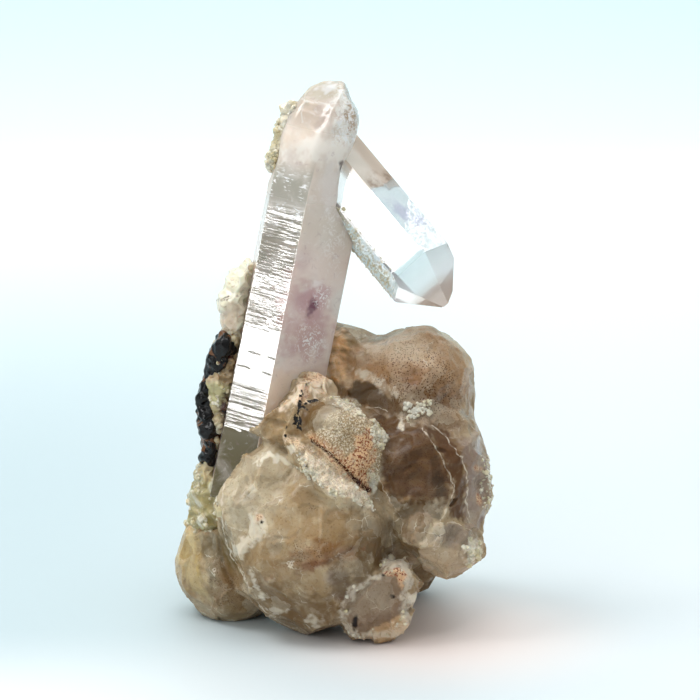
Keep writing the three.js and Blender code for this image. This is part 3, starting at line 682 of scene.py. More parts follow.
# Calcite, crystallised from water: glassy inside and waxy on its grown skin, so light goes a
# millimetre or two in and its colour is soft. Frosted breaks are white, and old cracks pale lines.
calcite, mm = new_material("calcite, smoky to cream")
stains, lines, marks = [
    add(calcite, "SeparateXYZ", {0: add(calcite, "Attribute", {}, attribute_name=name)["Vector"]})
    for name in ("stains", "lines", "marks")]
rust_at, frost_at, speck_at = stains
seam_at, suture_at, dendrite_at = lines
black_at, smoke_at, sand_at = marks
veil, mottle, dust, grain, twigs = [
    add(calcite, "TexNoise", {
        "Vector": mm, "Scale": 1 / size, "Detail": detail, "Roughness": rough, "Distortion": bend})["Fac"]
    for size, detail, rough, bend in (
        (4.0, 4.0, 0.6, 0.4), (1.5, 5.0, 0.65, 0.6), (0.35, 3.0, 0.6, 0.0), (0.24, 2.0, 0.5, 0.0),
        (0.42, 2.0, 0.5, 0.0))]
plain = amount(calcite, (smoke_at, 0.0, 0.9, 1.0, 0.15))  # pale veils hardly show in the smoke

# Cleavage blocks about 4 mm wide, bent so that their edges aren't straight.
swirl = add(calcite, "TexNoise", {"Vector": mm, "Scale": 0.5, "Detail": 3.0})["Color"]
swirl = add(calcite, "VectorMath", {0: swirl, 1: [0.5] * 3}, operation="SUBTRACT")[0]
swirl = add(calcite, "VectorMath", {0: swirl, "Scale": 2.2}, operation="SCALE")[0]
bent = add(calcite, "VectorMath", {0: mm, 1: swirl}, operation="ADD")[0]
blocks = {"Vector": bent, "Scale": 0.26, "Randomness": 1.0}
pale, dark, _ = add(calcite, "SeparateXYZ", {0: add(calcite, "TexVoronoi", blocks)["Color"]})
crack = add(calcite, "TexVoronoi", blocks, feature="DISTANCE_TO_EDGE")["Distance"]
specks = add(calcite, "TexVoronoi", {"Vector": mm, "Scale": 3.4, "Randomness": 1.0})["Distance"]
colour = layered(calcite, add(calcite, "Attribute", {}, attribute_name="body")["Color"], [
    ("#DDD2B8", (veil, 0.42, 0.72, 0, 0.25), plain),
    ("#E4DAC2", (pale, 0.5, 1.0, 0.0, 0.2), plain),
    ("#6F5535", (dark, 0.5, 1.0, 0.0, 0.25)),
    ("#E4DAC2", (mottle, 0.55, 0.66, 0, 0.14), plain),
    ("#6F5535", (mottle, 0.46, 0.3, 0, 0.3)),
    ("#6B4E2C", (dust, 0.56, 0.68, 0, 0.35)),
    ("#EBE2CE", (crack, 0.016, 0.004), (veil, 0.54, 0.64, 0.0, 0.5), plain),
    ("#E4DBC8", frost_at, (mottle, 0.36, 0.52, 0.25, 0.85)),
    ("#4A2610", (specks, 0.42, 0.26), (mottle, 0.38, 0.5), speck_at),
    ("#6E553A", sand_at, (grain, 0.5, 0.6, 0.0, 0.55)),
    ("#EFE8D8", sand_at, (grain, 0.46, 0.38, 0.0, 0.5)),
    ("#E4BA8E", rust_at, (mottle, 0.3, 0.6, 0.3, 0.8)),
    ("#7E3314", rust_at, (dust, 0.50, 0.56, 0.0, 0.9)),
    ("#DCD0BC", (seam_at, 0.14, 0.04), (mottle, 0.38, 0.55, 0.1, 0.7)),
    ("#36130C", (suture_at, 0.42, 0.12), (grain, 0.42, 0.52, 0.25, 1.0)),
    ("#120E0B", (dendrite_at, 0.26, 0.14), (twigs, 0.40, 0.46)),
    ("#1B0D08", black_at),
])
relief = add(calcite, "Bump", {"Strength": 0.4, "Distance": 0.0003, "Height": mottle})[0]
for strength, height in ((0.5, dust), (sand_at, grain)):
    relief = add(calcite, "Bump", {
        "Strength": strength, "Distance": 0.0001, "Height": height, "Normal": relief})[0]
skin = amount(calcite, (mottle, 0.3, 0.7, 0.10, 0.26))
shader = add(calcite, "BsdfPrincipled", {
    "Base Color": colour, "Normal": relief, "IOR": 1.57, "Specular IOR Level": 0.18,
    "Roughness": add(calcite, "Mix", {0: frost_at, 2: skin, 3: 0.5}, data_type="FLOAT")[0],
    "Subsurface Weight": 0.75, "Subsurface Radius": (1.0, 0.75, 0.5), "Subsurface Scale": 0.0006})[0]
add(calcite, "OutputMaterial", {"Surface": shader})

# What faces away from the front is drawn with fewer triangles.
CALCITE_TRIANGLES = 194_000
unseen = (grown_normals[:, 1] > 0.12) | (grown_normals[:, 2] < -0.9) | (grown_points[:, 1] > 7.0)
kept_share = CALCITE_TRIANGLES / (2 * len(calcite_mesh.polygons))  # each face is two triangles
calcite_mesh = with_modifier(calcite_mesh, "DECIMATE", unseen, ratio=kept_share)
piece("calcite_lobes", calcite_mesh, calcite, "calcite", "calcite_matrix")

# The sugary fringes of the calcite: small quartz points that grew along the broken faces and in the
# folds between lobes.
def quartz_points(at, direction, size, seed):
    """Many small six-sided quartz points as one mesh. Each is a hexagon carried along its own axis
    and drawn in to a tip. at and direction are (count, 3), size is the length of each in mm."""
    rng = np.random.default_rng(seed)
    count = len(at)
    z = direction / np.linalg.norm(direction, axis=1, keepdims=True)
    x = np.cross(z, rng.normal(size=(count, 3)))
    x /= np.linalg.norm(x, axis=1, keepdims=True)
    axes = np.stack([x, np.cross(z, x), z], 1)
    k = np.arange(6)
    ring = 0.42 * np.stack([np.cos(k * np.pi / 3), np.sin(k * np.pi / 3), 0 * k], -1)
    root, tip = [[0, 0, -0.55]], [[0.08, 0.05, 0.45]]
    shape = np.concatenate([root, ring + [0, 0, -0.5], ring * 0.92 + [0, 0, 0.15], tip])
    points = at[:, None] + (shape * size[:, None, None]) @ axes
    j = (k + 1) % 6
    tris = np.concatenate([np.stack([0 * k, 1 + j, 1 + k], -1), np.stack([0 * k + 13, 7 + k, 7 + j], -1)])
    quads = np.stack([1 + k, 1 + j, 7 + j, 7 + k], -1)
    start = (np.arange(count) * len(shape))[:, None, None]
    return points.reshape(-1, 3), [(faces + start).reshape(-1, faces.shape[1]) for faces in (quads, tris)]


def scatter(p, n, weight, count, size, seed, lean=0.5):
    """Quartz points standing on a surface, more of them where the weight is larger."""
    rng = np.random.default_rng(seed)
    chance = np.clip(weight, 0, None) ** 1.5
    pick = rng.choice(len(p), count, replace=False, p=chance / chance.sum())
    direction = n[pick] + lean * rng.normal(size=(count, 3))
    length = size * np.exp(rng.normal(0, 0.35, count))
    return quartz_points(p[pick], direction, length, seed + 1)


p, n = grown_points, grown_normals
ledge_edge = ledge_frost * (1 - within(p, LEDGE, 0.8, 0.1, 6, -6.0)) + 0.02 * ledge_frost
fringe_points, fringe_faces = joined([
    scatter(p, n, pillow_rim, 110, 0.42, 61),
    scatter(p, n, clusters, 240, 0.42, 62),
    scatter(p, n, shell_rim, 80, 0.5, 63),
    scatter(p, n, ledge_edge, 130, 0.4, 64),
    scatter(p, n, knob_b_white, 70, 0.8, 65, 0.8),
    scatter(p, n, left_druse, 300, 0.6, 66, 0.8),
    scatter(p, n, right_edge, 150, 0.4, 67, 0.8),
    scatter(p, n, tiny_cluster, 60, 0.62, 68),
])
fringe_points[:, 2] = np.maximum(fringe_points[:, 2], 0.0)

# Drusy quartz: clear points too small to see through, so they read as frosted sugar.
druse, mm = new_material("drusy quartz, cream")
clouds = {"Vector": mm, "Scale": 1 / 2.6, "Detail": 3.0, "Roughness": 0.6}
spots = {"Vector": mm, "Scale": 1 / 1.1, "Detail": 3.0, "Roughness": 0.6}
colour = layered(druse, "#D4C49C", [
    ("#F0E6D0", (add(druse, "TexNoise", clouds)["Fac"], 0.35, 0.65)),
    ("#B08A5E", (add(druse, "TexNoise", spots)["Fac"], 0.62, 0.74, 0, 0.35)),
])
shader = add(druse, "BsdfPrincipled", {
    "Base Color": colour, "IOR": 1.544, "Roughness": 0.18, "Subsurface Weight": 0.5,
    "Subsurface Radius": (1.0, 0.85, 0.7), "Subsurface Scale": 0.0008, "Transmission Weight": 0.15,
    "Specular IOR Level": 0.4})[0]
add(druse, "OutputMaterial", {"Surface": shader})
piece("quartz_fringe", new_mesh("quartz_fringe", fringe_points, fringe_faces), druse, "drusy_quartz")

# The main amethyst: a long six-sided quartz crystal that leans to the right. Its growth left fine
# steps across the front-left face, a shoulder where the upper part is slimmer, and a stepped head.
RHOMB = math.tan(math.radians(51.8))  # fall of a quartz rhomb face
# Each body: root height, then zones of (azimuth from the front, distance from the axis, end faces as
# (height where it would cross the axis, fall per mm outwards)).
MAIN = {
    "foot": (-12.2, -0.6, 18.0),
    "axis": (0.2025, 0.087, 1.0),
    "bodies": [
        (0.0, [(-82, 6.7, [(68.2, 2.0)]), (-22, 6.65, [(61.4, RHOMB)]), (38, 5.0, [(61.0, RHOMB)]),
               (98, 6.65, [(48.3, RHOMB)]), (158, 6.7, [(62.0, RHOMB)]), (218, 5.0, [(62.4, RHOMB)])]),
        (4.0, [(-82, 6.6, [(68.2, 2.0)]), (-22, 6.65, [(61.4, RHOMB)]), (38, 4.9, [(61.0, RHOMB)]),
               (98, 2.9, [(60.6, RHOMB)]), (158, 6.6, [(62.0, RHOMB)]), (218, 4.9, [(62.4, RHOMB)])]),
        (54.0, [(-82, 6.2, [(68.4, 2.0)]), (-22, 6.0, [(70.6, 2.6), (61.9, 0.7)]),
                (38, 4.8, [(66.0, 1.9), (63.0, 1.0)]), (98, 3.5, [(62.5, RHOMB)]),
                (158, 6.0, [(62.8, 0.9)]), (218, 4.8, [(63.0, 1.0)])]),
    ],
}


def crystal_axes(foot, axis):
    """A crystal's own axes: Z up its length, -Y as far to the front as it can, X to the right."""
    z = np.array(axis) / np.linalg.norm(axis)
    ahead = np.array([0, -math.cos(VIEW), math.sin(VIEW)])
    y = -(ahead - z * (ahead @ z))
    y /= np.linalg.norm(y)
    return np.array(foot) + PLAN, np.stack([np.cross(y, z), y, z])


def reach(bodies, h):
    """Distance of each of the six sides from the axis at heights h: for each body the nearer of its
    side face and end faces, and of the bodies the one that reaches furthest."""
    out = np.full((len(h), 6), -9.0)
    for root, zones in bodies:
        for i, (_, distance, ends) in enumerate(zones):
            d = np.minimum(distance, np.min([(top - h) / fall for top, fall in ends], axis=0))
            out[:, i] = np.maximum(out[:, i], np.where(h >= root - 1e-9, d, -9.0))
    return out


def summit(zones):
    """The highest point inside the end faces, as (across, depth, height): the highest of the points
    where three of them meet that none of the others cuts off."""
    faces = []
    for azimuth, _, ends in zones:
        a = math.radians(azimuth)
        faces += [(fall * math.sin(a), -fall * math.cos(a), 1.0, top) for top, fall in ends]
    faces = np.array(faces)
    best = np.array([0, 0, -math.inf])
    for trio in itertools.combinations(faces, 3):
        m = np.array(trio)
        if abs(np.linalg.det(m[:, :3])) < 1e-6:
            continue
        q = np.linalg.solve(m[:, :3], m[:, 3])
        if np.all(faces[:, :3] @ q <= faces[:, 3] + 1e-6) and q[2] > best[2]:
            best = q
    return best


def crystal(spec, columns, rows, relief, worn=0.0):
    """A crystal as one closed surface. Its parameters are the height up the axis and the way round.
    At each height the section is the hexagon that its six sides leave, with `columns` points on each
    side, and relief(side, share along it, height) moves a point out along the side's normal. Above
    the height `worn` the sides' steps are rounded. Returns points, faces, each point's place in the
    crystal's own axes, and the number of its side."""
    foot, axes = crystal_axes(spec["foot"], spec["axis"])
    tip = summit(spec["bodies"][-1][1])
    top = tip[2]
    h = np.append(rows[rows < top - 0.05], top - 0.02)
    azimuth = np.radians([zone[0] for zone in spec["bodies"][0][1]])
    normal = np.stack([np.sin(azimuth), -np.cos(azimuth)], -1)
    drift = smoothstep(top - 9.0, top - 0.5, h)[:, None] * tip[:2]
    d = reach(spec["bodies"], h)
    if worn:
        near = np.exp(-(((h[:, None] - h) / 0.9) ** 2))
        near /= near.sum(1, keepdims=True)
        rounded = smoothstep(worn - 2, worn, h) * (1 - smoothstep(top - 2.5, top - 1.0, h))
        d += (near @ d - d) * rounded[:, None]
    d = np.maximum(d - drift @ normal.T, 0.004)

    # The corner between each side and the next. A side that its neighbours cut off has no width left.
    gap = math.radians(60)
    corner = azimuth + np.arctan2((np.roll(d, -1, axis=1) - d * math.cos(gap)) / math.sin(gap), d)
    start = np.roll(corner, 1, axis=1)
    start[:, 0] -= 2 * np.pi
    lost = start > corner
    middle = (start + corner) / 2
    for i in range(6):
        row = lost[:, i]
        j = (i + 1) % 6
        corner[row, i] = middle[row, i]
        start[row, i] = middle[row, i]
        start[row, j] = middle[row, i] - (2 * np.pi if j == 0 else 0)
        corner[row, i - 1] = middle[row, i] + (2 * np.pi if i == 0 else 0)
    strips = []
    for i in range(6):
        share = np.linspace(0, 1, columns[i], endpoint=False)
        angle = start[:, i, None] + (corner[:, i] - start[:, i])[:, None] * share
        facing = np.cos(angle[..., None] - azimuth)
        r = np.where(facing > 0.02, d[:, None, :] / np.maximum(facing, 0.02), 99.0).min(-1)
        q = np.stack([r * np.sin(angle), -r * np.cos(angle)], -1) + drift[:, None]
        strips.append(q + relief(i, share[None, :], h[:, None])[..., None] * normal[i])
    q = np.concatenate(strips, axis=1)
    local = np.concatenate([q, np.broadcast_to(h[:, None, None], (*q.shape[:2], 1))], -1)
    bottom = np.broadcast_to([0, 0, h[0]], (1, *local.shape[1:]))
    own, faces = closed(np.concatenate([bottom, local, np.broadcast_to(tip, bottom.shape)]))
    side = np.concatenate([[0], np.tile(np.repeat(np.arange(6), columns), len(h)), [0]])
    return own @ axes + foot, [f[:, ::-1] for f in faces], own, side


def growth_steps(side, share, h):
    """The front-left face is a stair of treads up to a millimetre high, each flat but turned by its
    own small angle about the line across the face, and a little more or less from place to place
    along it. They hardly turn in the mirror-like patch low down, turn a little above it, and more
    further up, most on the left half. Small leans bring two bands below the patch into the light.
    The other sides only swell slightly."""
    shape = np.broadcast(share, h).shape
    q = np.stack(np.broadcast_arrays(share * 6.0, np.full(1, side * 11.0), h), -1).reshape(-1, 3)

    def swell(points, size, seed):
        return waves(points, size, seed).reshape(shape)

    fade = smoothstep(0.0, 0.06, np.minimum(share, 1 - share))
    if side != 1:
        return (0.03 * swell(q, 9.0, 71) + 0.006 * swell(q, 2.0, 72)) * fade
    u = h + 0.03 * swell(q * np.array([1, 1, 0.35]), 3.0, 73) + 0.2 * share
    tread = np.searchsorted(TREADS, u)
    low, high = TREADS[tread - 1], TREADS[tread]
    lean = TURNS[tread]
    along = np.stack([share * 6.0 + 0 * u, 0 * u, tread * 5.3], -1).reshape(-1, 3)
    wander = swell(along, 2.6, 74)
    right_half = smoothstep(0.3, 0.6, share + 0.12 * swell(q, 3.0, 79))
    upper = smoothstep(30.0, 35.0, h)
    calm = smoothstep(25.2, 26.4, u)
    seen = 1 - smoothstep(38.0, 43.5, h)

    # How much the flat part of each tread slopes, and how much its nose above the turn does.
    flat = lean * 0.006 - upper * (0.040 + 0.012 * lean) + 0.012 * wander * (1 - upper)
    lower_nose = 0.14 * (1 - upper) * (wander > -0.6)
    upper_nose = upper * (0.08 * (1 - right_half) + 0.03 * np.clip(wander, 0, 2))
    few = (np.abs(lean) > 1.2) * 0.14 * (1 - calm) * smoothstep(17.0, 18.0, h) * (wander > 0)
    dim = (1 - smoothstep(16.6, 17.6, u)) * smoothstep(10.2, 10.8, h)
    bands = np.exp(-(((h - 13.8) / 0.6) ** 2)) + np.exp(-(((h - 11.2) / 0.35) ** 2))
    flat = calm * seen * flat + dim * (0.035 - 0.06 * bands + 0.02 * lean + 0.012 * wander)
    nose = calm * seen * (lower_nose - upper_nose) + few

    # Up the flat part, on up the nose, and back to the face over the last tenth.
    f = (u - low) / (high - low)
    turn = 0.62 - 0.12 * upper
    run = np.minimum(f, turn) * flat + np.clip(f - turn, 0, 0.9 - turn) * nose
    back = np.clip((f - 0.90) / 0.10, 0, 1) * (turn * flat + (0.9 - turn) * nose)
    return (run - back) * (high - low) * fade


# TREADS are the heights in mm at which the treads end, about 0.3 mm apart and 1.7 times that in the
# upper half. TURNS says how far each tread is turned.
rng = np.random.default_rng(75)
count, taller_from = 260, 98
tread_heights = 0.16 + rng.gamma(2.0, 0.08, count)
TREADS = 2.0 + np.cumsum(tread_heights * np.where(np.arange(count) < taller_from, 1.0, 1.7))
TURNS = rng.normal(0, 1, count + 1)

# The rows of points are close together on the treads, and wider apart below them and on the head.
rows = np.concatenate([
    np.arange(0, 10.5, 0.3), np.arange(10.5, 44.0, 0.062), np.arange(44.025, 50.0, 0.045),
    np.arange(50.0, 63.0, 0.15)])
crystal_points, faces, own, side = crystal(MAIN, (8, 56, 24, 12, 12, 12), rows, growth_steps, 49.0)
main_mesh = new_mesh("main_amethyst", crystal_points, faces, smooth=40)

# The head is rounded and swollen by later growth, then chipped, and etched on its right.
height = own[:, 2]
etched = smoothstep(52.5, 55.0, height) * smoothstep(-0.2, 1.6, own[:, 0])
swollen = (0.35 + 0.55 * smoothstep(-3.0, 1.0, own[:, 0])) * smoothstep(49.0, 54.0, height)
p, n = points_of(main_mesh)
p, n = moved(main_mesh, settled(main_mesh, p, 0.9 * smoothstep(46.0, 52.0, height), 60))
p = p + n * swollen[:, None]
p = chipped(p, n, smoothstep(54.5, 56.5, height) + 1e-9, 20, 4.4, 0.30, 78)
p = chipped(p, n, etched + 1e-9, 90, 1.5, 0.12, 79)
p, n = moved(main_mesh, p)
main_mesh.set_sharp_from_angle(angle=math.radians(40))
foot, axes = crystal_axes(MAIN["foot"], MAIN["axis"])
own = (p - foot) @ axes.T
height = own[:, 2]
CLOUD = [
    (-7.2, 69.7), (-4.9, 71.4), (-0.5, 70.7), (2.4, 70.0), (2.6, 65.4), (0.8, 64.4), (-0.6, 66.2),
    (-4.9, 67.2), (-7.9, 67.4)]
PEACH = [
    (-7.6, 68.0), (-6.5, 72.7), (-4.4, 75.9), (-2.7, 75.3), (-2.2, 72.4), (-3.1, 70.2), (-4.9, 69.5),
    (-6.0, 68.0)]
HEAD_LEDGE = [
    [(-4.6, 75.4), (-3.0, 75.0), (-0.6, 74.7), (0.4, 74.9)],
    [(-4.0, 75.2), (-4.6, 73.6), (-4.6, 72.0)],
]
TOP_GLINT = [(-2.0, 77.0), (-0.5, 77.9), (0.6, 77.6), (0.1, 76.7), (-1.2, 76.4)]
SPARKLE = [
    (0.5, 77.0), (1.7, 76.0), (2.4, 74.5), (1.7, 72.4), (2.7, 71.2), (1.8, 69.5), (0.4, 71.2), (0.1, 73.6)]
BROWN_RIM = [(1.7, 74.1), (3.3, 73.5), (3.6, 71.8), (2.7, 70.7), (1.8, 72.1)]
left_face = 1.0 * (side == 1)
striated = left_face * smoothstep(25.4, 26.4, height) * (1 - smoothstep(40.0, 46.0, height))
clouded = smoothstep(41.0, 48.0, height) * (1 - smoothstep(53.0, 57.0, height))
clouded = np.maximum(clouded, 0.35 * (side == 2))
# Painted highlights: short white dashes up the left face above the treads, where the treads' glints fade.
glint_dashed = left_face * smoothstep(38.0, 42.0, height) * (1 - smoothstep(46.5, 51.0, height))
glint_dashed *= smoothstep(-0.6, 0.8, waves(own * np.array([1.0, 1.0, 0.3]), 2.0, 130))
lower_left = left_face * (1 - smoothstep(35.0, 42.0, height))
upper_left = left_face * smoothstep(34.0, 40.0, height) * (1 - smoothstep(47.0, 51.0, height))
tint(main_mesh, [
    ("#EAD6CA", 1),
    ("#E6DCD2", smoothstep(0.0, 1.2, waves(p, 6.0, 85))),
    ("#D3B4AF", 0.7 * smoothstep(0.1, 1.2, waves(p, 7.0, 86))),
    ("#DDCFC0", 0.8 * smoothstep(34.0, 42.0, height)),
    ("#8E8C7C", 0.85 * lower_left),
    ("#A29E90", 0.9 * upper_left),
    ("#CDA9A2", 0.8 * oval(p, -4.6, 43.5, 3.4, 6.0, 10, 0.5, 0.3, 111, 30.0)),
    ("#B8868E", 0.6 * oval(p, -3.2, 45.6, 1.9, 2.8, -10, 0.6, 0.4, 113, 30.0)),
    ("#641036", 0.95 * oval(p, -3.3, 45.2, 0.6, 1.1, -20, 0.7, 0.6, 112, 30.0)),
    ("#F3E9E6", 0.7 * oval(p, -2.4, 48.7, 0.9, 0.35, 35, 0.5, 0.6, 115, 30.0)),
    ("#F0D8C0", 0.7 * (side == 2) * smoothstep(24.0, 14.0, height)),
    ("#F2DDC9", 0.8 * oval(p, -7.2, 32.4, 3.4, 2.2, 42, 0.6, 0.3, 125, 30.0)),
    ("#7A7154", 0.95 * left_face * smoothstep(15.0, 9.0, height)),
    ("#F2E9DE", within(p, CLOUD, 1.3, 0.9, 117, 30.0)),
    ("#E4DAD2", 0.8 * oval(p, -0.5, 62.8, 1.2, 3.6, 0, 0.6, 0.4, 127, 30.0)),
    ("#54413A", 0.9 * oval(p, 1.2, 65.6, 0.3, 1.1, 12, 0.6, 0.9, 126, 30.0)),
    ("#C9B5A8", 0.8 * oval(p, -2.6, 72.6, 1.8, 2.0, 0, 0.5, 0.5, 118, 30.0)),
    ("#EBD9C6", 0.8 * within(p, PEACH, 1.0, 0.4, 119, 30.0)),
    ("#CFC4AE", 0.9 * oval(p, -1.6, 76.9, 3.0, 1.6, 15, 0.4, 0.3, 120, 30.0)),
    ("#FFFFFF", 0.7 * within(p, TOP_GLINT, 0.4, 0.3, 122, 30.0)),
    ("#F4EFE6", 0.9 * (line_distance(p, HEAD_LEDGE, 0.1, 8, 30.0) < 0.1)),
    ("#F8F5EC", 0.8 * within(p, SPARKLE, 0.3, 0.4, 123, 30.0)),
    ("#B9A084", 0.9 * within(p, BROWN_RIM, 0.2, 0.5, 124, 30.0)),
])
flecked = np.maximum.reduce([
    oval(p, -1.4, 46.8, 1.2, 1.7, 0, 0.6, 0.3, 114, 30.0),
    oval(p, -3.4, 40.0, 1.8, 2.6, 0, 0.6, 0.3, 116, 30.0),
    0.6 * oval(p, 0.2, 56.0, 1.6, 5.0, 0, 0.6, 0.3, 117, 30.0)])
paint(main_mesh, "own_place", *own.T)
paint(main_mesh, "growth", striated, etched, clouded)
paint(main_mesh, "flecks_and_glints", flecked, glint_dashed, 0.0)

# Amethyst: quartz with a trace of iron. It is clear to milky, palest at the head, faintly lilac in
# the middle, with one spot of stronger purple, and dim where it goes into the calcite.
amethyst, mm = new_material("amethyst, pale")
growth, flecks_and_glints = [
    add(amethyst, "SeparateXYZ", {0: add(amethyst, "Attribute", {}, attribute_name=name)["Vector"]})
    for name in ("growth", "flecks_and_glints")]
striated_at, etched_at, clouded_at = growth
fleck_at, glint_dash_at, _ = flecks_and_glints
veil, wisps, grit = [
    add(amethyst, "TexNoise", {
        "Vector": mm, "Scale": 1 / size, "Detail": detail, "Roughness": rough, "Distortion": bend})["Fac"]
    for size, detail, rough, bend in ((4.0, 4.0, 0.6, 0.5), (1.4, 5.0, 0.65, 1.0), (0.8, 3.0, 0.6, 2.0))]

# Dashes of painted glint 0.8 mm wide and lines 4 mm wide, both about 0.3 mm high, across the crystal's own
# length.
place = add(amethyst, "Attribute", {}, attribute_name="own_place")["Vector"]
glint_dashes, lines = [
    add(amethyst, "TexNoise", {
        "Vector": add(amethyst, "VectorMath", {0: place, 1: per_mm}, operation="MULTIPLY")[0],
        "Scale": 1.0, "Detail": detail, "Roughness": 0.5})["Fac"]
    for per_mm, detail in (((1.3, 1.3, 3.8), 1.0), ((0.25, 0.25, 3.6), 2.0))]
colour = layered(amethyst, add(amethyst, "Attribute", {}, attribute_name="body")["Color"], [
    ("#F0E6E0", (veil, 0.45, 0.7, 0.0, 0.35)),
    ("#F6EFEA", (wisps, 0.58, 0.68, 0.0, 0.3)),
    ("#A98C8E", (wisps, 0.42, 0.3, 0.0, 0.3)),
    ("#FBF7F4", fleck_at, (grit, 0.52, 0.6, 0.0, 0.9)),
    ("#FFFFFF", etched_at, (grit, 0.5, 0.56, 0.0, 0.8)),
    ("#9A8262", etched_at, (grit, 0.4, 0.36, 0.0, 0.4)),
    # Painted highlight: white glint dashes.
    ("#FFFFFF", glint_dash_at, (glint_dashes, 0.56, 0.62)),
])
relief = add(amethyst, "Bump", {
    "Strength": amount(amethyst, striated_at, 0.25), "Distance": 0.00005, "Height": lines})[0]
relief = add(amethyst, "Bump", {
    "Strength": amount(amethyst, etched_at, 0.8), "Distance": 0.00012, "Height": wisps, "Normal": relief})[0]
shader = add(amethyst, "BsdfPrincipled", {
    "Base Color": colour, "Normal": relief, "IOR": 1.544,
    "Roughness": amount(amethyst, (clouded_at, 0.0, 1.0, 0.05, 0.45)),
    "Transmission Weight": amount(amethyst, (clouded_at, 0.0, 1.0, 0.35, 0.1)),
    "Subsurface Weight": 0.6, "Subsurface Radius": (1.0, 0.85, 0.8), "Subsurface Scale": 0.0015})[0]
add(amethyst, "OutputMaterial", {"Surface": shader})
piece("main_amethyst", main_mesh, amethyst, "amethyst", "amethyst_crystals")

# The side crystal: clear quartz that crosses the main one near its tip and points down to the right
# and forwards. Druse is sprinkled on its narrow lower-left face.
SIDE = {
    "foot": (-5.2, 10.7, 71.1),
    "axis": (0.61, -0.409, -0.679),
    "bodies": [
        (1.0, [(-49, 4.95, [(34.1, RHOMB)]), (11, 4.95, [(33.6, RHOMB)]), (71, 4.7, [(34.8, RHOMB)]),
               (131, 5.2, [(35.8, RHOMB)]), (191, 4.95, [(35.2, RHOMB)]), (251, 4.95, [(36.0, RHOMB)])]),
    ],
}


def side_relief(side, share, h):
    """Slight swells that fade at the edges."""
    q = np.stack(np.broadcast_arrays(share * 6.0, np.full(1, side * 9.0), h), -1).reshape(-1, 3)
    fade = smoothstep(0.0, 0.08, np.minimum(share, 1 - share))
    return 0.012 * waves(q, 5.0, 81).reshape(np.broadcast(share, h).shape) * fade


side_rows = np.arange(4.4, 35.0, 0.2)
crystal_points, faces, own, side = crystal(SIDE, (14, 18, 14, 10, 10, 10), side_rows, side_relief)
side_mesh = new_mesh("side_quartz", crystal_points, faces, smooth=28)
p, n = points_of(side_mesh)
paint(side_mesh, "place", own[:, 0], own[:, 2], side == 0)

# Rock crystal: clear quartz, so light goes straight through and only the faces' reflections and a
# beige film near the main crystal show.
clear_quartz, mm = new_material("rock crystal, clear")
place = add(clear_quartz, "Attribute", {}, attribute_name="place")["Vector"]
across, height, strip_at = add(clear_quartz, "SeparateXYZ", {0: place})
veil, blotch = [
    add(clear_quartz, "TexNoise", {
        "Vector": mm, "Scale": 1 / size, "Detail": detail, "Roughness": 0.6})["Fac"]
    for size, detail in ((3.0, 4.0), (2.4, 4.0))]
ragged = add(clear_quartz, "Math", {0: veil, 1: -2.4, 2: height}, operation="MULTIPLY_ADD")[0]
film = amount(clear_quartz, (ragged, 14.6, 13.9), (across, -0.6, -1.8))
colour = layered(clear_quartz, "#FDFEFE", [
    ("#FBFBFB", strip_at),
    ("#D2CADF", (height, 17.0, 20.0), (height, 26.0, 23.0), (veil, 0.42, 0.6), strip_at),
    ("#E2CDBB", film),
    ("#9A7A62", (ragged, 11.2, 13.6), (ragged, 15.0, 14.0), (blotch, 0.35, 0.62, 0.0, 0.9), strip_at),
    ("#D8BEAC", (height, 30.4, 32.4, 0.0, 0.8)),
])
see_through = amount(clear_quartz, (height, 26.0, 31.0, 0.85, 0.45), (film, 0.0, 1.0, 1.0, 0.5))
shader = add(clear_quartz, "BsdfPrincipled", {
    "Base Color": colour, "IOR": 1.544, "Roughness": 0.02, "Transmission Weight": see_through})[0]
add(clear_quartz, "OutputMaterial", {"Surface": shader})
piece("side_quartz", side_mesh, clear_quartz, "amethyst", "amethyst_crystals")

sprinkled = smoothstep(2.0, 4.4, own[:, 0]) * (own[:, 1] < 3.0)
sprinkled = sprinkled * smoothstep(11.0, 14.0, own[:, 2]) * (1 - smoothstep(26.0, 29.0, own[:, 2]))
grains = new_mesh("side_druse", *scatter(p, n, sprinkled, 700, 0.24, 82, 0.8))
piece("side_druse", grains, druse, "drusy_quartz")

# The crusts: rows of sugary quartz lumps. One grows on the head of the main crystal, the other runs
# down its left side to the calcite. Each lump: its place and half width in mm.
HEAD_DRUSE = [
    (-6.3, 2.4, 74.9, 0.8), (-7.2, 2.5, 73.3, 1.0), (-7.6, 2.4, 71.6, 1.1), (-8.0, 2.4, 69.9, 1.05),
    (-8.6, 2.3, 68.3, 1.2), (-8.9, 2.2, 66.9, 1.0)]
CRUST = [
    (-13.0, 1.6, 52.0, 1.3), (-14.2, 1.3, 50.2, 2.0), (-15.1, 1.1, 47.6, 2.3), (-14.6, 0.9, 45.0, 2.2),
    (-15.2, 0.7, 42.3, 1.9), (-16.1, 0.6, 39.3, 2.2), (-16.8, 0.4, 36.0, 2.5), (-17.1, 0.3, 32.8, 2.2),
    (-17.4, 0.2, 29.8, 1.9), (-17.8, 0.1, 27.0, 1.6), (-18.3, 0.0, 24.5, 1.6), (-18.8, -0.2, 21.9, 2.0),
    (-19.6, -0.4, 18.9, 2.2)]
CRUST_FOOT = [
    (-17.2, -3.8, 20.4, 1.6), (-18.4, -3.2, 18.6, 2.1), (-17.2, -4.2, 17.6, 1.8),
    (-18.6, -3.8, 15.8, 1.9), (-20.0, -2.4, 16.0, 1.9)]


def lumps(rows, depth, seed=0):
    """A row of overlapping lumps: each a lobe of the given half width, `depth` times as deep and a
    little taller, turned its own way."""
    shapes = []
    for i, (x, y, z, r) in enumerate(rows):
        half = (r, r * depth, r * 1.15)
        shapes.append(closed(lobe((x, y, z), half, 40 * math.sin(7 * i), i + seed, [], 0.3)))
    return shapes


